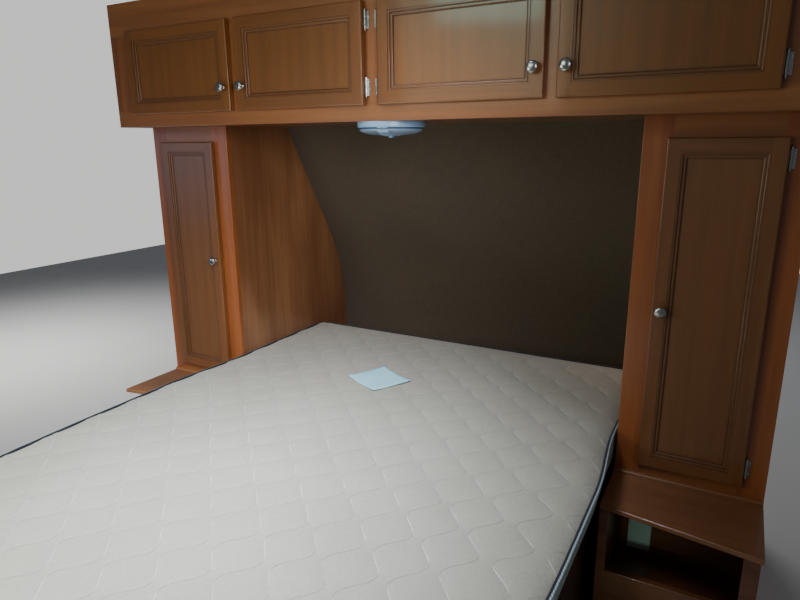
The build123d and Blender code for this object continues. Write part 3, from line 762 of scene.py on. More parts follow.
for finishName, members in nodeFinishes.items():
    for member in members:
        dress(member, finish[finishName])
for index, door in enumerate(doorNames):
    dress(f"{door}_frame", makeDoorWood(door, "frame", index))
    dress(f"{door}_panel", makeDoorWood(door, "panel", index))
    dress(f"{door}_knob", finish["satinNickel"])
    dress(f"{door}_hinges", finish["satinNickel"])
print("finishes on", len(nodes), "nodes")


# Runs a geometry tree once on a holder and keeps the result as a plain mesh object
def grow(name, tree, values, source=None):
    holder = addObject(name + "Holder", source or bpy.data.meshes.new(name + "Seed"))
    modifier = holder.modifiers.new("grow", "NODES")
    modifier.node_group = tree
    for item in tree.interface.items_tree:
        if item.item_type == "SOCKET" and item.in_out == "INPUT" and item.name in values:
            modifier[item.identifier] = values[item.name]
    graph = bpy.context.evaluated_depsgraph_get()
    grown = bpy.data.meshes.new_from_object(holder.evaluated_get(graph), depsgraph=graph)
    holder.modifiers.clear()
    bpy.data.objects.remove(holder)
    return addPiece(name, grown)


def addPiece(name, mesh, *materials):
    piece = addObject(name, mesh)
    for material in materials:
        mesh.materials.append(material)
    mesh.polygons.foreach_set("use_smooth", [True] * len(mesh.polygons))
    return piece


def readPoints(mesh):
    spots = np.empty(len(mesh.vertices) * 3)
    mesh.vertices.foreach_get("co", spots)
    return spots.reshape(-1, 3)


def writePoints(mesh, spots):
    mesh.vertices.foreach_set("co", spots.ravel())
    mesh.update()


def readMarks(mesh, name):
    marks = np.zeros(len(mesh.vertices), np.int32)
    mesh.attributes[name].data.foreach_get("value", marks)
    return marks > 0


def openShape(mesh):
    shape = bmesh.new()
    shape.from_mesh(mesh)
    return shape


# Writes an edited shape to its mesh, with the faces turned outwards
def closeShape(shape, mesh):
    bmesh.ops.recalc_face_normals(shape, faces=shape.faces)
    shape.to_mesh(mesh)
    shape.free()


# Mattress: quilted top panel, side band and flat underside in one closed skin

mattressLook = {
    "lineGap": 0.0788,        # metres between quilting lines
    "firstLine": 0.7415,      # middle of the line furthest to the right
    "swing": 0.024,           # how far each line waves to either side
    "waveLength": 0.154,
    "waveStart": -0.573,      # where even lines swing furthest left
    "columns": (0.0, 0.03, 0.09, 0.2, 0.35, 0.5, 0.65, 0.8, 0.91, 0.97),  # of points, from line to line
    "rowGap": 0.0066,
    "merge": 0.0004,          # points closer than this become one
    "corner": 0.070,
    "borderIn": 0.0050,       # the panel's border, in from the mattress's side
    "seamDrop": 0.0040,       # seams lie this far below the highest padding
    "borderDrop": 0.0160,
    "borderFall": 0.044,      # width over which the panel falls to its border, and how suddenly
    "borderPower": 3.2,
    "slack": 0.0015,          # cloth longer than its seams by this share
    "seamStep": 0.002,        # an edge that runs less than this along the bed is no part of a seam
    "pressure": 110.0,
    "stiffness": 40.0,
    "shearShare": 0.4,        # of the stiffness, for shear
    "bending": 0.001,
    "pointMass": 0.001,
    "quality": 3,
    "frames": 8,
    "puffCap": 0.0042,
    "puffReach": 0.016,       # how far from a seam the padding is at its height, without the simulation
    "bandLevels": 12,
    "bandBulge": 0.0042,
    "bandRound": 0.7,
    "bandLean": 0.0020,       # how far in the band's foot lies
    "pinchGap": 0.154,        # dents round the band, one for every wave of the quilting
    "pinchWidth": 0.020,
    "pinchDepth": 0.0030,
    "swell": 0.025,           # sideways, where no wardrobe holds the mattress in
    "swellFrom": 0.262,       # y where it starts, and over what length it grows
    "swellGrow": 0.37,
    "swellEase": (-0.40, 0.75),   # y where it eases off towards the foot, and over what length
    "swellIn": (0.58, 0.735),     # from no swell to all of it, outwards from the bed's middle
    "swellFoot": 0.50,        # share of it that is left at the underside
    "swellTop": 0.02,         # depth below the top down to which it is full
    "squeeze": 0.984,         # share of its width that is left where the raised bed passes the wardrobes
}


def triangleWave(value):
    return 2.0 * np.abs(np.mod(value, 2.0) - 1.0) - 1.0


# Half width, half length, middle and corner radius of the quilted panel
def panelSize(look, low, high):
    half = (high.x - low.x) / 2 - look["borderIn"]
    reach = (high.y - low.y) / 2 - look["borderIn"]
    return half, reach, (high.y + low.y) / 2, look["corner"] - look["borderIn"]


# Square corners of the grid turned to quarter discs
def roundCorners(x, y, half, reach, radius):
    u = np.clip((np.abs(x) - (half - radius)) / radius, 0.0, 1.0)
    v = np.clip((np.abs(y) - (reach - radius)) / radius, 0.0, 1.0)
    newX = np.sign(x) * np.where(u > 0, half - radius + radius * u * np.sqrt(1 - v * v / 2), np.abs(x))
    newY = np.sign(y) * np.where(v > 0, reach - radius + radius * v * np.sqrt(1 - u * u / 2), np.abs(y))
    return newX, newY


# Columns follow the wavy quilting lines, rows run straight across
def makePanelGrid(look, low, high):
    half, reach, middle, corner = panelSize(look, low, high)
    lastLine = math.ceil((look["firstLine"] + half) / look["lineGap"]) + 1
    phase = np.array([line + part for line in range(-1, lastLine) for part in look["columns"]])
    flatX = look["firstLine"] - look["lineGap"] * phase
    phase = phase[np.abs(flatX) < half + look["swing"]]
    rows = np.linspace(-reach, reach, round(2 * reach / look["rowGap"]) + 1)
    phase, y = np.meshgrid(phase, rows)
    turn = 2 * np.pi * (y + middle - look["waveStart"]) / look["waveLength"]
    x = look["firstLine"] - look["lineGap"] * phase - look["swing"] * np.cos(turn) * triangleWave(phase)
    x = np.clip(x, -half, half)
    x[:, 0], x[:, -1] = half, -half
    seam = np.abs(phase - np.round(phase)) < 1e-6
    inward = np.minimum(half - np.abs(x), reach - np.abs(y))
    x, y = roundCorners(x, y, half, reach, corner)
    fall = np.clip(1 - inward / look["borderFall"], 0, 1) ** look["borderPower"]
    z = high.z - look["seamDrop"] - (look["borderDrop"] - look["seamDrop"]) * fall
    held = seam | (inward < 1e-6)
    points = np.stack([x, y + middle, z], -1).reshape(-1, 3)
    index = np.arange(phase.size).reshape(phase.shape)
    quads = np.stack([index[:-1, :-1], index[1:, :-1], index[1:, 1:], index[:-1, 1:]], -1).reshape(-1, 4)
    return points, quads, held.reshape(-1), seam.reshape(-1)


# Closes up doubled points, and gives held points and seams as attributes
def makePanelMesh(look, low, high):
    points, quads, held, seam = makePanelGrid(look, low, high)
    mesh = bpy.data.meshes.new("quiltedPanel")
    mesh.from_pydata(points.tolist(), [], quads.tolist())
    for name, values in (("held", held), ("seam", seam)):
        mesh.attributes.new(name, "INT", "POINT").data.foreach_set("value", values.astype(np.int32))
    shape = openShape(mesh)
    bmesh.ops.remove_doubles(shape, verts=shape.verts, dist=look["merge"])
    bmesh.ops.dissolve_degenerate(shape, edges=shape.edges, dist=look["merge"] / 4)
    shape.to_mesh(mesh)
    shape.free()
    if mesh.polygons[len(mesh.polygons) // 2].normal.z < 0:
        mesh.flip_normals()
    return mesh


# Slack cloth held at its seams and blown up from below, each point's move capped
def puffPanel(mesh, look):
    rest = readPoints(mesh)
    panel = addObject("quiltedPanel", mesh)
    group = panel.vertex_groups.new(name="held")
    group.add(np.nonzero(readMarks(mesh, "held"))[0].tolist(), 1.0, "ADD")
    cloth = panel.modifiers.new("cloth", "CLOTH")
    made = cloth.settings
    made.quality = look["quality"]
    made.mass = look["pointMass"]
    made.tension_stiffness = look["stiffness"]
    made.compression_stiffness = look["stiffness"]
    made.shear_stiffness = look["stiffness"] * look["shearShare"]
    made.bending_stiffness = look["bending"]
    made.vertex_group_mass = "held"
    made.shrink_min = -look["slack"]
    made.use_pressure = True
    made.uniform_pressure_force = look["pressure"]
    made.effector_weights.gravity = 0.0
    cloth.collision_settings.use_collision = False
    cloth.point_cache.frame_start = 1
    cloth.point_cache.frame_end = look["frames"]
    for step in range(1, look["frames"] + 1):
        bpy.context.scene.frame_set(step)
    graph = bpy.context.evaluated_depsgraph_get()
    move = readPoints(panel.evaluated_get(graph).data) - rest
    panel.modifiers.clear()
    bpy.data.objects.remove(panel)
    bpy.context.scene.frame_set(1)
    size = np.linalg.norm(move, axis=1)
    print("panel moves, metres: mean", round(float(size.mean()), 5), "largest", round(float(size.max()), 5))
    cap = look["puffCap"]
    move *= (cap * np.tanh(size / cap) / np.maximum(size, 1e-9))[:, None]
    writePoints(mesh, rest + move)


def smooth(value):
    value = np.clip(value, 0.0, 1.0)
    return value * value * (3 - 2 * value)


# Pushes the sides out between the wardrobes and the foot, most of all near the top
def swellSides(mesh, look, low, high):
    spots = readPoints(mesh)
    x, y, z = spots.T
    easeFrom, easeLength = look["swellEase"]
    along = smooth((look["swellFrom"] - y) / look["swellGrow"]) * (1 - smooth((easeFrom - y) / easeLength))
    inner, outer = look["swellIn"]
    across = smooth((np.abs(x) - inner) / (outer - inner))
    upwards = smooth((z - low.z) / (high.z - low.z - look["swellTop"]))
    tall = look["swellFoot"] + (1 - look["swellFoot"]) * upwards
    spots[:, 0] += np.sign(x) * look["swell"] * along * across * tall
    writePoints(mesh, spots)


# Attaches a piece to the bed's body, with a mesh of its own
def rideBed(piece):
    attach(piece, "bed")
    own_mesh(piece)


# Which way is out, level, at a spot on the border
def outward(x, y, half, reach, middle, radius):
    sideX = max(abs(x) - (half - radius), 0.0)
    sideY = max(abs(y - middle) - (reach - radius), 0.0)
    length = math.hypot(sideX, sideY) or 1.0
    return math.copysign(sideX / length, x), math.copysign(sideY / length, y - middle)


# Border points in order round the panel
def borderLoop(shape):
    edges = [edge for edge in shape.edges if edge.is_boundary]
    start = edges[0].verts[0]
    loop, previous, current = [start], None, start
    while True:
        nearby = [edge.other_vert(current) for edge in current.link_edges if edge.is_boundary]
        following = nearby[0] if nearby[0] is not previous else nearby[1]
        if following is start:
            return loop
        loop.append(following)
        previous, current = current, following


# Rows of points from the panel's border down to the underside, which closes the skin
def addBand(mesh, look, low, high):
    half, reach, middle, corner = panelSize(look, low, high)
    shape = openShape(mesh)
    loop = borderLoop(shape)
    runs = [0.0]
    for first, second in zip(loop, loop[1:]):
        runs.append(runs[-1] + (second.co - first.co).length)
    aims = [outward(v.co.x, v.co.y, half, reach, middle, corner) for v in loop]
    ring = loop
    levels = look["bandLevels"]
    for level in range(1, levels + 1):
        part = level / levels
        ringZ = [v.co.z + (low.z - v.co.z) * part for v in loop]
        swell = math.sin(math.pi * part) ** look["bandRound"] if level < levels else 0.0
        following = []
        for vert, z, run, (aimX, aimY) in zip(loop, ringZ, runs, aims):
            off = (run + look["pinchGap"] / 2) % look["pinchGap"] - look["pinchGap"] / 2
            pinch = math.exp(-(off / look["pinchWidth"]) ** 2)
            out = look["bandBulge"] * swell - look["bandLean"] * part - look["pinchDepth"] * pinch * swell
            following.append(shape.verts.new((vert.co.x + aimX * out, vert.co.y + aimY * out, z)))
        for i in range(len(loop)):
            j = (i + 1) % len(loop)
            shape.faces.new((ring[i], ring[j], following[j], following[i])).material_index = 1
        ring = following
    shape.faces.new(ring).material_index = 1
    closeShape(shape, mesh)


def makeMattress(look):
    low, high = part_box("mattress")
    mesh = makePanelMesh(look, low, high)
    puffPanel(mesh, look)
    seams = seamLines(mesh, look)
    addBand(mesh, look, low, high)
    swellSides(seams, look, low, high)
    swellSides(mesh, look, low, high)
    piece = addPiece("quiltedMattress", mesh, finish["topTicking"], finish["bandTicking"])
    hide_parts("mattress")
    rideBed(piece)
    return low, high, seams


# The quilting seams as loose edges, for the stitches to follow
def seamLines(mesh, look):
    seam = readMarks(mesh, "seam")
    ends = np.zeros(len(mesh.edges) * 2, np.int32)
    mesh.edges.foreach_get("vertices", ends)
    ends = ends.reshape(-1, 2)
    kept = ends[seam[ends].all(axis=1)]
    spots = readPoints(mesh)
    along = np.abs(np.diff(spots[kept, 1], axis=1)[:, 0]) > look["seamStep"]
    lines = bpy.data.meshes.new("seamLines")
    lines.from_pydata(spots.tolist(), kept[along].tolist(), [])
    return lines


mattressLow, mattressHigh, seams = makeMattress(mattressLook)
print("mattress made")


# Tape bound over the mattress's edges: a slightly uneven bead along a rounded rectangle

tapeLook = {
    "flatten": 0.84,          # height of the bead for its width
    "topRadius": 0.0058,
    "topIn": 0.0026,          # bead's centre, in from the mattress's side
    "topDrop": 0.0135,        # bead's centre below the mattress's top
    "topCloth": "tapeCloth",
    "topSeed": 4.0,
    "bottomRadius": 0.0042,
    "bottomIn": 0.0065,
    "bottomRise": 0.0048,
    "bottomCloth": "bandTicking",
    "bottomSeed": 7.0,
    "cornerPoints": 16,
    "step": 0.006,
    "sides": 14,
    "uneven": 0.0010,
    "wobble": 26.0,
}


def storeValue(tree, geometry, name, value):
    return put(tree, "GeometryNodeStoreNamedAttribute", {"Geometry": geometry, "Name": name, "Value": value},
               data_type="FLOAT", domain="POINT").outputs[0]


# Last nodes of every tree: instances made real, and the finish set
def closeTree(tree, out, geometry, material):
    real = put(tree, "GeometryNodeRealizeInstances", {"Geometry": geometry})
    dressed = put(tree, "GeometryNodeSetMaterial", {"Geometry": real.outputs[0], "Material": material})
    tree.links.new(dressed.outputs[0], out["Geometry"])
    return tree


def buildTapeTree():
    tree, given, out = makeGroup(
        "tapeBead",
        [("Width", "Float", 1.5), ("Length", "Float", 1.9), ("Corner", "Float", 0.06),
         ("Corner Points", "Int", 16), ("Middle", "Vector"), ("Radius", "Float", 0.006),
         ("Flatten", "Float", 0.9), ("Step", "Float", 0.006), ("Sides", "Int", 12),
         ("Uneven", "Float", 0.001), ("Wobble", "Float", 26.0), ("Seed", "Float", 0.0),
         ("Material", "Material")],
        [("Geometry", "Geometry")], "GeometryNodeTree")
    outline = put(tree, "GeometryNodeCurvePrimitiveQuadrilateral",
                  {"Width": given["Width"], "Height": given["Length"]})
    rounded = put(tree, "GeometryNodeFilletCurve",
                  {"Curve": outline.outputs[0], "Radius": given["Corner"], "Count": given["Corner Points"]},
                  mode="POLY")
    path = put(tree, "GeometryNodeResampleCurve", {"Curve": rounded.outputs[0], "Length": given["Step"]},
               mode="LENGTH")
    spline = put(tree, "GeometryNodeSplineParameter")
    marked = storeValue(tree, path.outputs[0], "alongTape", spline.outputs["Length"])
    ring = put(tree, "GeometryNodeCurvePrimitiveCircle",
               {"Resolution": given["Sides"], "Radius": given["Radius"]})
    flat = put(tree, "GeometryNodeTransform",
               {"Geometry": ring.outputs[0], "Scale": joined(tree, 1.0, given["Flatten"], 1.0)})
    turn = put(tree, "GeometryNodeSplineParameter")
    edged = storeValue(tree, flat.outputs[0], "aroundTape", turn.outputs["Factor"])
    bead = put(tree, "GeometryNodeCurveToMesh", {"Curve": marked, "Profile Curve": edged})
    spot = put(tree, "GeometryNodeInputPosition").outputs[0]
    wobble = put(tree, "ShaderNodeTexNoise",
                 {"Vector": spot, "W": given["Seed"], "Scale": given["Wobble"], "Detail": 2.0},
                 noise_dimensions="4D")
    offCentre = vectorCalc(tree, "SUBTRACT", wobble.outputs["Color"], (0.5, 0.5, 0.5))
    push = put(tree, "ShaderNodeVectorMath", {0: offCentre, "Scale": given["Uneven"]},
               operation="SCALE").outputs[0]
    moved = put(tree, "GeometryNodeSetPosition", {"Geometry": bead.outputs[0], "Offset": push})
    placed = put(tree, "GeometryNodeTransform",
                 {"Geometry": moved.outputs[0], "Translation": given["Middle"]})
    return closeTree(tree, out, placed.outputs[0], given["Material"])


def makeTapes(look, low, high):
    tree = buildTapeTree()
    for name, z in (("top", high.z - look["topDrop"]), ("bottom", low.z + look["bottomRise"])):
        inset = look[name + "In"]
        tape = grow(name + "Tape", tree, {
            "Width": high.x - low.x - 2 * inset, "Length": high.y - low.y - 2 * inset,
            "Corner": mattressLook["corner"] - inset, "Corner Points": look["cornerPoints"],
            "Middle": ((low.x + high.x) / 2, (low.y + high.y) / 2, z),
            "Radius": look[name + "Radius"], "Flatten": look["flatten"], "Step": look["step"],
            "Sides": look["sides"], "Uneven": look["uneven"], "Wobble": look["wobble"],
            "Seed": look[name + "Seed"], "Material": finish[look[name + "Cloth"]]})
        swellSides(tape.data, mattressLook, low, high)
        rideBed(tape)


makeTapes(tapeLook, mattressLow, mattressHigh)
print("tapes made")


# Lock stitches sunk along the quilting seams

stitchLook = {
    "gap": 0.0065,
    "long": 0.0062,
    "thick": 0.0008,          # a stitch's radius
    "sides": 6,
    "lift": 0.0004,
    "gleamWay": (0.7071, -0.7071, 0.0),   # stretches of seam along this way get the painted glint
    "gleamFrom": 0.8625,      # how closely they have to follow it, to begin and in full
    "gleamFull": 0.9875,
}


def buildStitchTree():
    tree, given, out = makeGroup(
        "seamStitches",
        [("Geometry", "Geometry"), ("Gap", "Float", 0.006), ("Long", "Float", 0.004),
         ("Thick", "Float", 0.0005), ("Sides", "Int", 5), ("Lift", "Float", 0.0003),
         ("Gleam Way", "Vector", (1.0, 0.0, 0.0)), ("Gleam From", "Float", 0.85),
         ("Gleam Full", "Float", 1.0), ("Material", "Material")],
        [("Geometry", "Geometry")], "GeometryNodeTree")
    lines = put(tree, "GeometryNodeMeshToCurve", {"Mesh": given["Geometry"]})
    spots = put(tree, "GeometryNodeCurveToPoints", {"Curve": lines.outputs[0], "Length": given["Gap"]},
                mode="LENGTH")
    # mask for the painted glint on the thread, kept as an attribute for its material
    way = put(tree, "ShaderNodeVectorMath", {0: spots.outputs["Tangent"], 1: given["Gleam Way"]},
              operation="DOT_PRODUCT").outputs["Value"]
    gleam = remap(tree, calc(tree, "ABSOLUTE", way), given["Gleam From"], given["Gleam Full"])
    marked = storeValue(tree, spots.outputs["Points"], "gleam", gleam)
    raised = put(tree, "GeometryNodeSetPosition",
                 {"Geometry": marked, "Offset": joined(tree, 0.0, 0.0, given["Lift"])})
    rod = put(tree, "GeometryNodeMeshCylinder",
              {"Vertices": given["Sides"], "Radius": given["Thick"], "Depth": given["Long"]})
    stitches = put(tree, "GeometryNodeInstanceOnPoints",
                   {"Points": raised.outputs[0], "Instance": rod.outputs["Mesh"],
                    "Rotation": spots.outputs["Rotation"]})
    return closeTree(tree, out, stitches.outputs[0], given["Material"])


def makeStitches(look, lines):
    piece = grow("seamStitches", buildStitchTree(), {
        "Gap": look["gap"], "Long": look["long"], "Thick": look["thick"], "Sides": look["sides"],
        "Lift": look["lift"], "Gleam Way": look["gleamWay"], "Gleam From": look["gleamFrom"],
        "Gleam Full": look["gleamFull"], "Material": finish["quiltThread"]}, lines)
    rideBed(piece)
    print("stitches,", len(piece.data.polygons), "faces")


makeStitches(stitchLook, seams)


# Blank paper card: a thin closed sheet, creased across its middle and curling at its corners

cardLook = {
    "corners": ((-0.2091, 0.2462), (-0.1355, 0.3906), (0.0231, 0.3098), (-0.0505, 0.1654)),
    "restZ": 0.7105,
    "thick": 0.0004,
    "crease": 0.0016,         # how far the middle lies below the card's halves
    "creaseAt": 0.52,
    "creaseSharp": 0.8,
    "ripple": 0.25,           # waves across each half, as a share of the crease
    "rippleTurns": (5.0, 2.0, 4.0),
    "curl": 0.0034,
    "curlPower": 3,
    "cells": 28,
}


def makeCard(look):
    first, second, third, fourth = (np.array(corner) for corner in look["corners"])
    count = look["cells"] + 1
    u, v = np.meshgrid(np.linspace(0, 1, count), np.linspace(0, 1, count))
    u, v = u[..., None], v[..., None]
    flat = first * (1 - u) * (1 - v) + second * u * (1 - v) + third * u * v + fourth * (1 - u) * v
    fold = np.abs(v - look["creaseAt"]) / 0.5
    corner = (2 * np.abs(u - 0.5)) ** look["curlPower"] * (2 * np.abs(v - 0.5)) ** look["curlPower"]
    turnU, turnV, beat = look["rippleTurns"]
    ripple = look["ripple"] * (1 + fold * np.sin(turnU * u + turnV * v) * np.sin(beat * v))
    height = look["restZ"] + look["crease"] * (fold ** look["creaseSharp"] + ripple) + look["curl"] * corner
    top = np.concatenate([flat, height + look["thick"]], -1).reshape(-1, 3)
    under = np.concatenate([flat, height], -1).reshape(-1, 3)
    index = np.arange(count * count).reshape(count, count)
    faces = np.stack([index[:-1, :-1], index[:-1, 1:], index[1:, 1:], index[1:, :-1]], -1).reshape(-1, 4)
    lower = faces[:, ::-1] + index.size
    rim = np.concatenate([index[0, :-1], index[:-1, -1], index[-1, :0:-1], index[:0:-1, 0]])
    after = np.roll(rim, -1)
    sides = np.stack([rim, rim + index.size, after + index.size, after], -1)
    mesh = bpy.data.meshes.new("curledCard")
    points = np.concatenate([top, under])
    mesh.from_pydata(points.tolist(), [], np.concatenate([faces, lower, sides]).tolist())
    shape = openShape(mesh)
    closeShape(shape, mesh)
    piece = addPiece("curledCard", mesh, finish["cardPaper"])
    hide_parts("paper_card")
    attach(piece, "bed")


makeCard(cardLook)
print("card made")


# Turned pieces: a profile of radius and height spun about its own Z, closed at both ends

def turned(name, profile, sides):
    shape = bmesh.new()
    rows = []
    for radius, height in profile[1:-1]:
        rows.append([shape.verts.new((radius * math.cos(angle), radius * math.sin(angle), height))
                     for angle in (2 * math.pi * i / sides for i in range(sides))])
    for lower, upper in zip(rows, rows[1:]):
        for i in range(sides):
            j = (i + 1) % sides
            shape.faces.new((lower[i], lower[j], upper[j], upper[i]))
    for row, (_, height) in ((rows[0], profile[0]), (rows[-1], profile[-1])):
        pole = shape.verts.new((0, 0, height))
        for i in range(sides):
            shape.faces.new((row[i], row[(i + 1) % sides], pole))
    mesh = bpy.data.meshes.new(name)
    closeShape(shape, mesh)
    return mesh


# Skin over a row of sections with the same number of points, closed at both ends
def lofted(shape, sections):
    rows = [[shape.verts.new(point) for point in section] for section in sections]
    count = len(rows[0])
    for first, second in zip(rows, rows[1:]):
        for i in range(count):
            j = (i + 1) % count
            shape.faces.new((first[i], first[j], second[j], second[i]))
    shape.faces.new(rows[0])
    shape.faces.new(rows[-1])


# Dome lamp: a domed lens, and a bar with a rocker switch across it

lampLook = {
    "middle": (0.0, 0.227),
    "turn": 14.0,             # of the bar, in degrees
    "rimZ": 1.608,
    "radius": 0.105,
    "lip": (0.0006, 0.0022),  # how far the lens's edge steps in, and at what depth
    "sideRadius": 0.102,      # radius where the lens's straight side ends
    "sideDepth": 0.006,
    "depth": 0.0245,
    "sides": 96,
    "levels": 14,
    "barHalf": 0.0165,
    "barReach": 0.9985,       # share of the lens's radius
    "barProud": 0.0022,
    "barEdge": 0.0016,
    "barRimTurn": 12.0,       # how sharply the bar bends at the lens's rim
    "barStations": 41,
    "barSharp": 40,           # degrees between two faces from which their edge stays sharp
    "switchHalf": 0.006,
    "switchProud": 0.0042,
    "switchSunk": 0.001,
    "switchEdge": 0.0008,
    # how far the rocker's face is set back along its length, from end to end
    "rocker": ((-0.012, 0.0022), (-0.011, 0.0005), (-0.006, 0.0), (0.0, 0.0012), (0.006, 0.0),
               (0.011, 0.0005), (0.012, 0.0022)),
}


def lensProfile(look):
    lipIn, lipDepth = look["lip"]
    profile = [(0, 0.0), (look["radius"], 0.0), (look["radius"] - lipIn, -lipDepth),
               (look["sideRadius"], -look["sideDepth"])]
    for level in range(1, look["levels"]):
        part = level / look["levels"] * math.pi / 2
        drop = (look["depth"] - look["sideDepth"]) * math.sin(part)
        profile.append((look["sideRadius"] * math.cos(part), -look["sideDepth"] - drop))
    return profile + [(0, -look["depth"])]


# The lens's depth at a distance from its middle, for the bar to follow
def lensDepth(look, reach):
    inside = max(1 - (reach / look["sideRadius"]) ** 2, 0.0)
    dome = (look["depth"] - look["sideDepth"]) * math.sqrt(inside)
    return look["sideDepth"] * min(1.0, look["barRimTurn"] * inside) + dome


def makeDomedLens(look, place):
    mesh = turned("domedLens", lensProfile(look), look["sides"])
    mesh.transform(place)
    lens = addPiece("domedLens", mesh, finish["lampLens"])
    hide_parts("lamp_lens")
    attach(lens, "unit")


# A section across the bar or the switch: a flat face at z with its two edges taken off
def barSection(y, half, edge, top, z):
    return [(-half, y, top), (-half, y, z + edge), (-half + edge, y, z),
            (half - edge, y, z), (half, y, z + edge), (half, y, top)]


def makeLampBar(look, place):
    shape = bmesh.new()
    sections = []
    for station in range(look["barStations"]):
        y = -math.cos(math.pi * station / (look["barStations"] - 1)) * look["radius"] * look["barReach"]
        z = -lensDepth(look, abs(y)) - look["barProud"]
        sections.append(barSection(y, look["barHalf"], look["barEdge"], 0.0, z))
    lofted(shape, sections)
    base = -look["depth"] - look["barProud"] + look["switchSunk"]
    tip = -look["depth"] - look["barProud"] - look["switchProud"]
    lofted(shape, [barSection(y, look["switchHalf"], look["switchEdge"], base, tip + back)
                   for y, back in look["rocker"]])
    mesh = bpy.data.meshes.new("lampBar")
    closeShape(shape, mesh)
    mesh.transform(place)
    bar = addPiece("curvedLampBar", mesh, finish["lampWhite"])
    mesh.set_sharp_from_angle(angle=math.radians(look["barSharp"]))
    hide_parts("lamp_bar")
    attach(bar, "unit")


lampPlace = (Matrix.Translation((*lampLook["middle"], lampLook["rimZ"]))
             @ Matrix.Rotation(math.radians(lampLook["turn"]), 4, "Z"))
makeDomedLens(lampLook, lampPlace)
makeLampBar(lampLook, lampPlace)
print("lamp made")


# Knobs

knobLook = {
    # radius and height in millimetres, foot first
    "profile": ((0, 0.2), (7.4, 0.2), (7.6, 0.8), (7.2, 1.5), (5.8, 2.4), (4.8, 4.0), (4.5, 6.5),
                (4.6, 9.0), (5.4, 11.2), (7.6, 13.2), (10.8, 14.8), (13.8, 16.2), (15.6, 17.6),
                (16.2, 19.0), (15.9, 20.4), (14.8, 21.8), (12.6, 23.1), (9.6, 24.0), (6.2, 24.6),
                (3.0, 24.9), (0, 25.0)),
    "sides": 40,
}


def metres(profile):
    return [(radius / 1000, height / 1000) for radius, height in profile]


def makeKnobs(look):
    profile = metres(look["profile"])
    for door in doorNames:
        low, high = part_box(f"{door}_knob")
        mesh = turned(f"{door}_turnedKnob", profile, look["sides"])
        foot = Vector(((low.x + high.x) / 2, high.y, (low.z + high.z) / 2))
        mesh.transform(Matrix.Translation(foot) @ Matrix.Rotation(math.pi / 2, 4, "X"))
        knob = addPiece(f"{door}_turnedKnob", mesh, finish["satinNickel"])
        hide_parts(f"{door}_knob")
        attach(knob, door)


makeKnobs(knobLook)
print("knobs made")


# Small fasteners: one shape set on marked points, each turned to the point's own direction

fastenerLook = {
    # profiles of radius and height in millimetres
    "screw": ((0, -0.5), (1.9, -0.5), (2.5, 0.0), (2.5, 0.35), (1.9, 0.75), (1.0, 0.92), (0.8, 0.45),
              (0, 0.45)),
    "finial": ((0, -0.2), (3.9, -0.2), (4.5, 0.4), (4.5, 1.2), (3.4, 2.0), (3.6, 2.9), (3.2, 3.9),
               (2.2, 4.9), (1.0, 5.7), (0, 6.0)),
    "screwSides": 12,
    "finialSides": 16,
    "hingeIn": 0.053,         # hinge centre from the door's end
    "hingeScrews": (-0.0155, 0.0155),
    "leafMiddle": 0.0080,     # leaf's middle from the pin
    "leafFront": 0.0016,
    "doorGap": 0.002,         # between a door's back and the frame behind it
    "pinOut": 0.005,
    "barrel": 0.054,
    "plateProud": 0.0015,
    "deckHinges": (-0.5, 0.0, 0.5),
    "deckScrews": (-0.120, -0.040, 0.040, 0.120),
    "deckPlace": (0.866, 0.602),   # y and z of the deck hinges' screws
    "spin": 6.28,             # largest turn of a screw's slot, in radians
    "seed": 3,
}


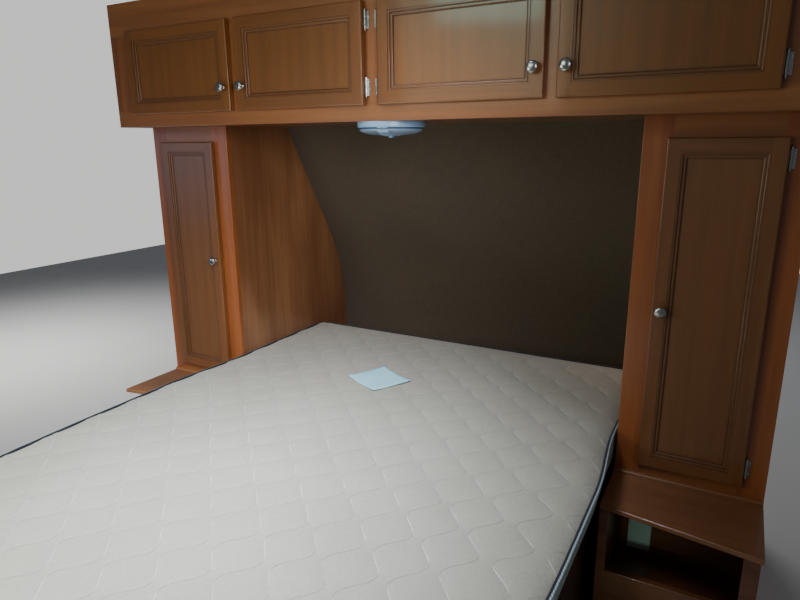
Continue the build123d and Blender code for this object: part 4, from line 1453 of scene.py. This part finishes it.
def buildFastenerTree(name):
    tree, given, out = makeGroup(
        name,
        [("Geometry", "Geometry"), ("Shape", "Object"), ("Turn", "Float", 1.0), ("Seed", "Int", 3),
         ("Material", "Material")],
        [("Geometry", "Geometry")], "GeometryNodeTree")
    spots = put(tree, "GeometryNodeMeshToPoints", {"Mesh": given["Geometry"]})
    shape = put(tree, "GeometryNodeObjectInfo", {"Object": given["Shape"]})
    aim = put(tree, "GeometryNodeInputNamedAttribute", {"Name": "aim"}, data_type="FLOAT_VECTOR").outputs[0]
    faced = put(tree, "FunctionNodeAlignRotationToVector", {"Vector": aim}, axis="Z").outputs[0]
    spin = put(tree, "FunctionNodeRandomValue", {2: 0.0, 3: given["Turn"], "Seed": given["Seed"]},
               data_type="FLOAT")
    spinAngle = put(tree, "FunctionNodeAxisAngleToRotation", {"Axis": (0, 0, 1), "Angle": spin.outputs[1]})
    turnedTo = put(tree, "FunctionNodeRotateRotation", {"Rotation": faced, "Rotate By": spinAngle.outputs[0]},
                   rotation_space="LOCAL")
    placed = put(tree, "GeometryNodeInstanceOnPoints",
                 {"Points": spots.outputs[0], "Instance": shape.outputs["Geometry"],
                  "Rotation": turnedTo.outputs[0]})
    return closeTree(tree, out, placed.outputs[0], given["Material"])


# Rows of place and direction, each with one fastener of the given kind
def setFasteners(name, tree, kind, rows, material):
    look = fastenerLook
    spots = bpy.data.meshes.new(name + "Spots")
    spots.from_pydata([where for where, aim in rows], [], [])
    aims = spots.attributes.new("aim", "FLOAT_VECTOR", "POINT")
    aims.data.foreach_set("vector", np.array([aim for where, aim in rows], float).ravel())
    shape = turned(name + "Shape", metres(look[kind]), look[kind + "Sides"])
    pattern = addObject(name + "Shape", shape)
    piece = grow(name, tree, {
        "Shape": pattern, "Turn": look["spin"], "Seed": look["seed"], "Material": finish[material]}, spots)
    bpy.data.objects.remove(pattern)
    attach(piece, "unit")
    print(name, len(rows), "set")


def makeFasteners(look):
    forwards, upwards = (0, -1, 0), (0, 0, 1)
    screws, finials = [], []
    for door in doorNames:
        low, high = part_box(f"{door}_frame")
        hingeLow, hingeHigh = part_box(f"{door}_hinges")
        right = (hingeLow.x + hingeHigh.x) > (low.x + high.x)
        edge, way = (high.x, 1) if right else (low.x, -1)
        faceY = high.y + look["doorGap"]
        pinX = edge + way * look["pinOut"]
        leafX = pinX + way * look["leafMiddle"]
        for z in (low.z + look["hingeIn"], high.z - look["hingeIn"]):
            for step in look["hingeScrews"]:
                screws.append(((leafX, faceY - look["leafFront"], z + step), forwards))
            for side in (-1, 1):
                finials.append(((pinX, faceY - look["pinOut"], z + side * look["barrel"] / 2), (0, 0, side)))
    low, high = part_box("outlet")
    plate = [(((low.x + high.x) / 2, low.y + look["plateProud"], (low.z + high.z) / 2), forwards)]
    shelf = [((middle + step, *look["deckPlace"]), upwards)
             for middle in look["deckHinges"] for step in look["deckScrews"]]
    tree = buildFastenerTree("placedFasteners")
    setFasteners("hingeScrews", tree, "screw", screws, "satinNickel")
    setFasteners("hingeFinials", tree, "finial", finials, "satinNickel")
    setFasteners("plateScrew", tree, "screw", plate, "outletPlastic")
    setFasteners("deckHingeScrews", tree, "screw", shelf, "zincSteel")


makeFasteners(fastenerLook)
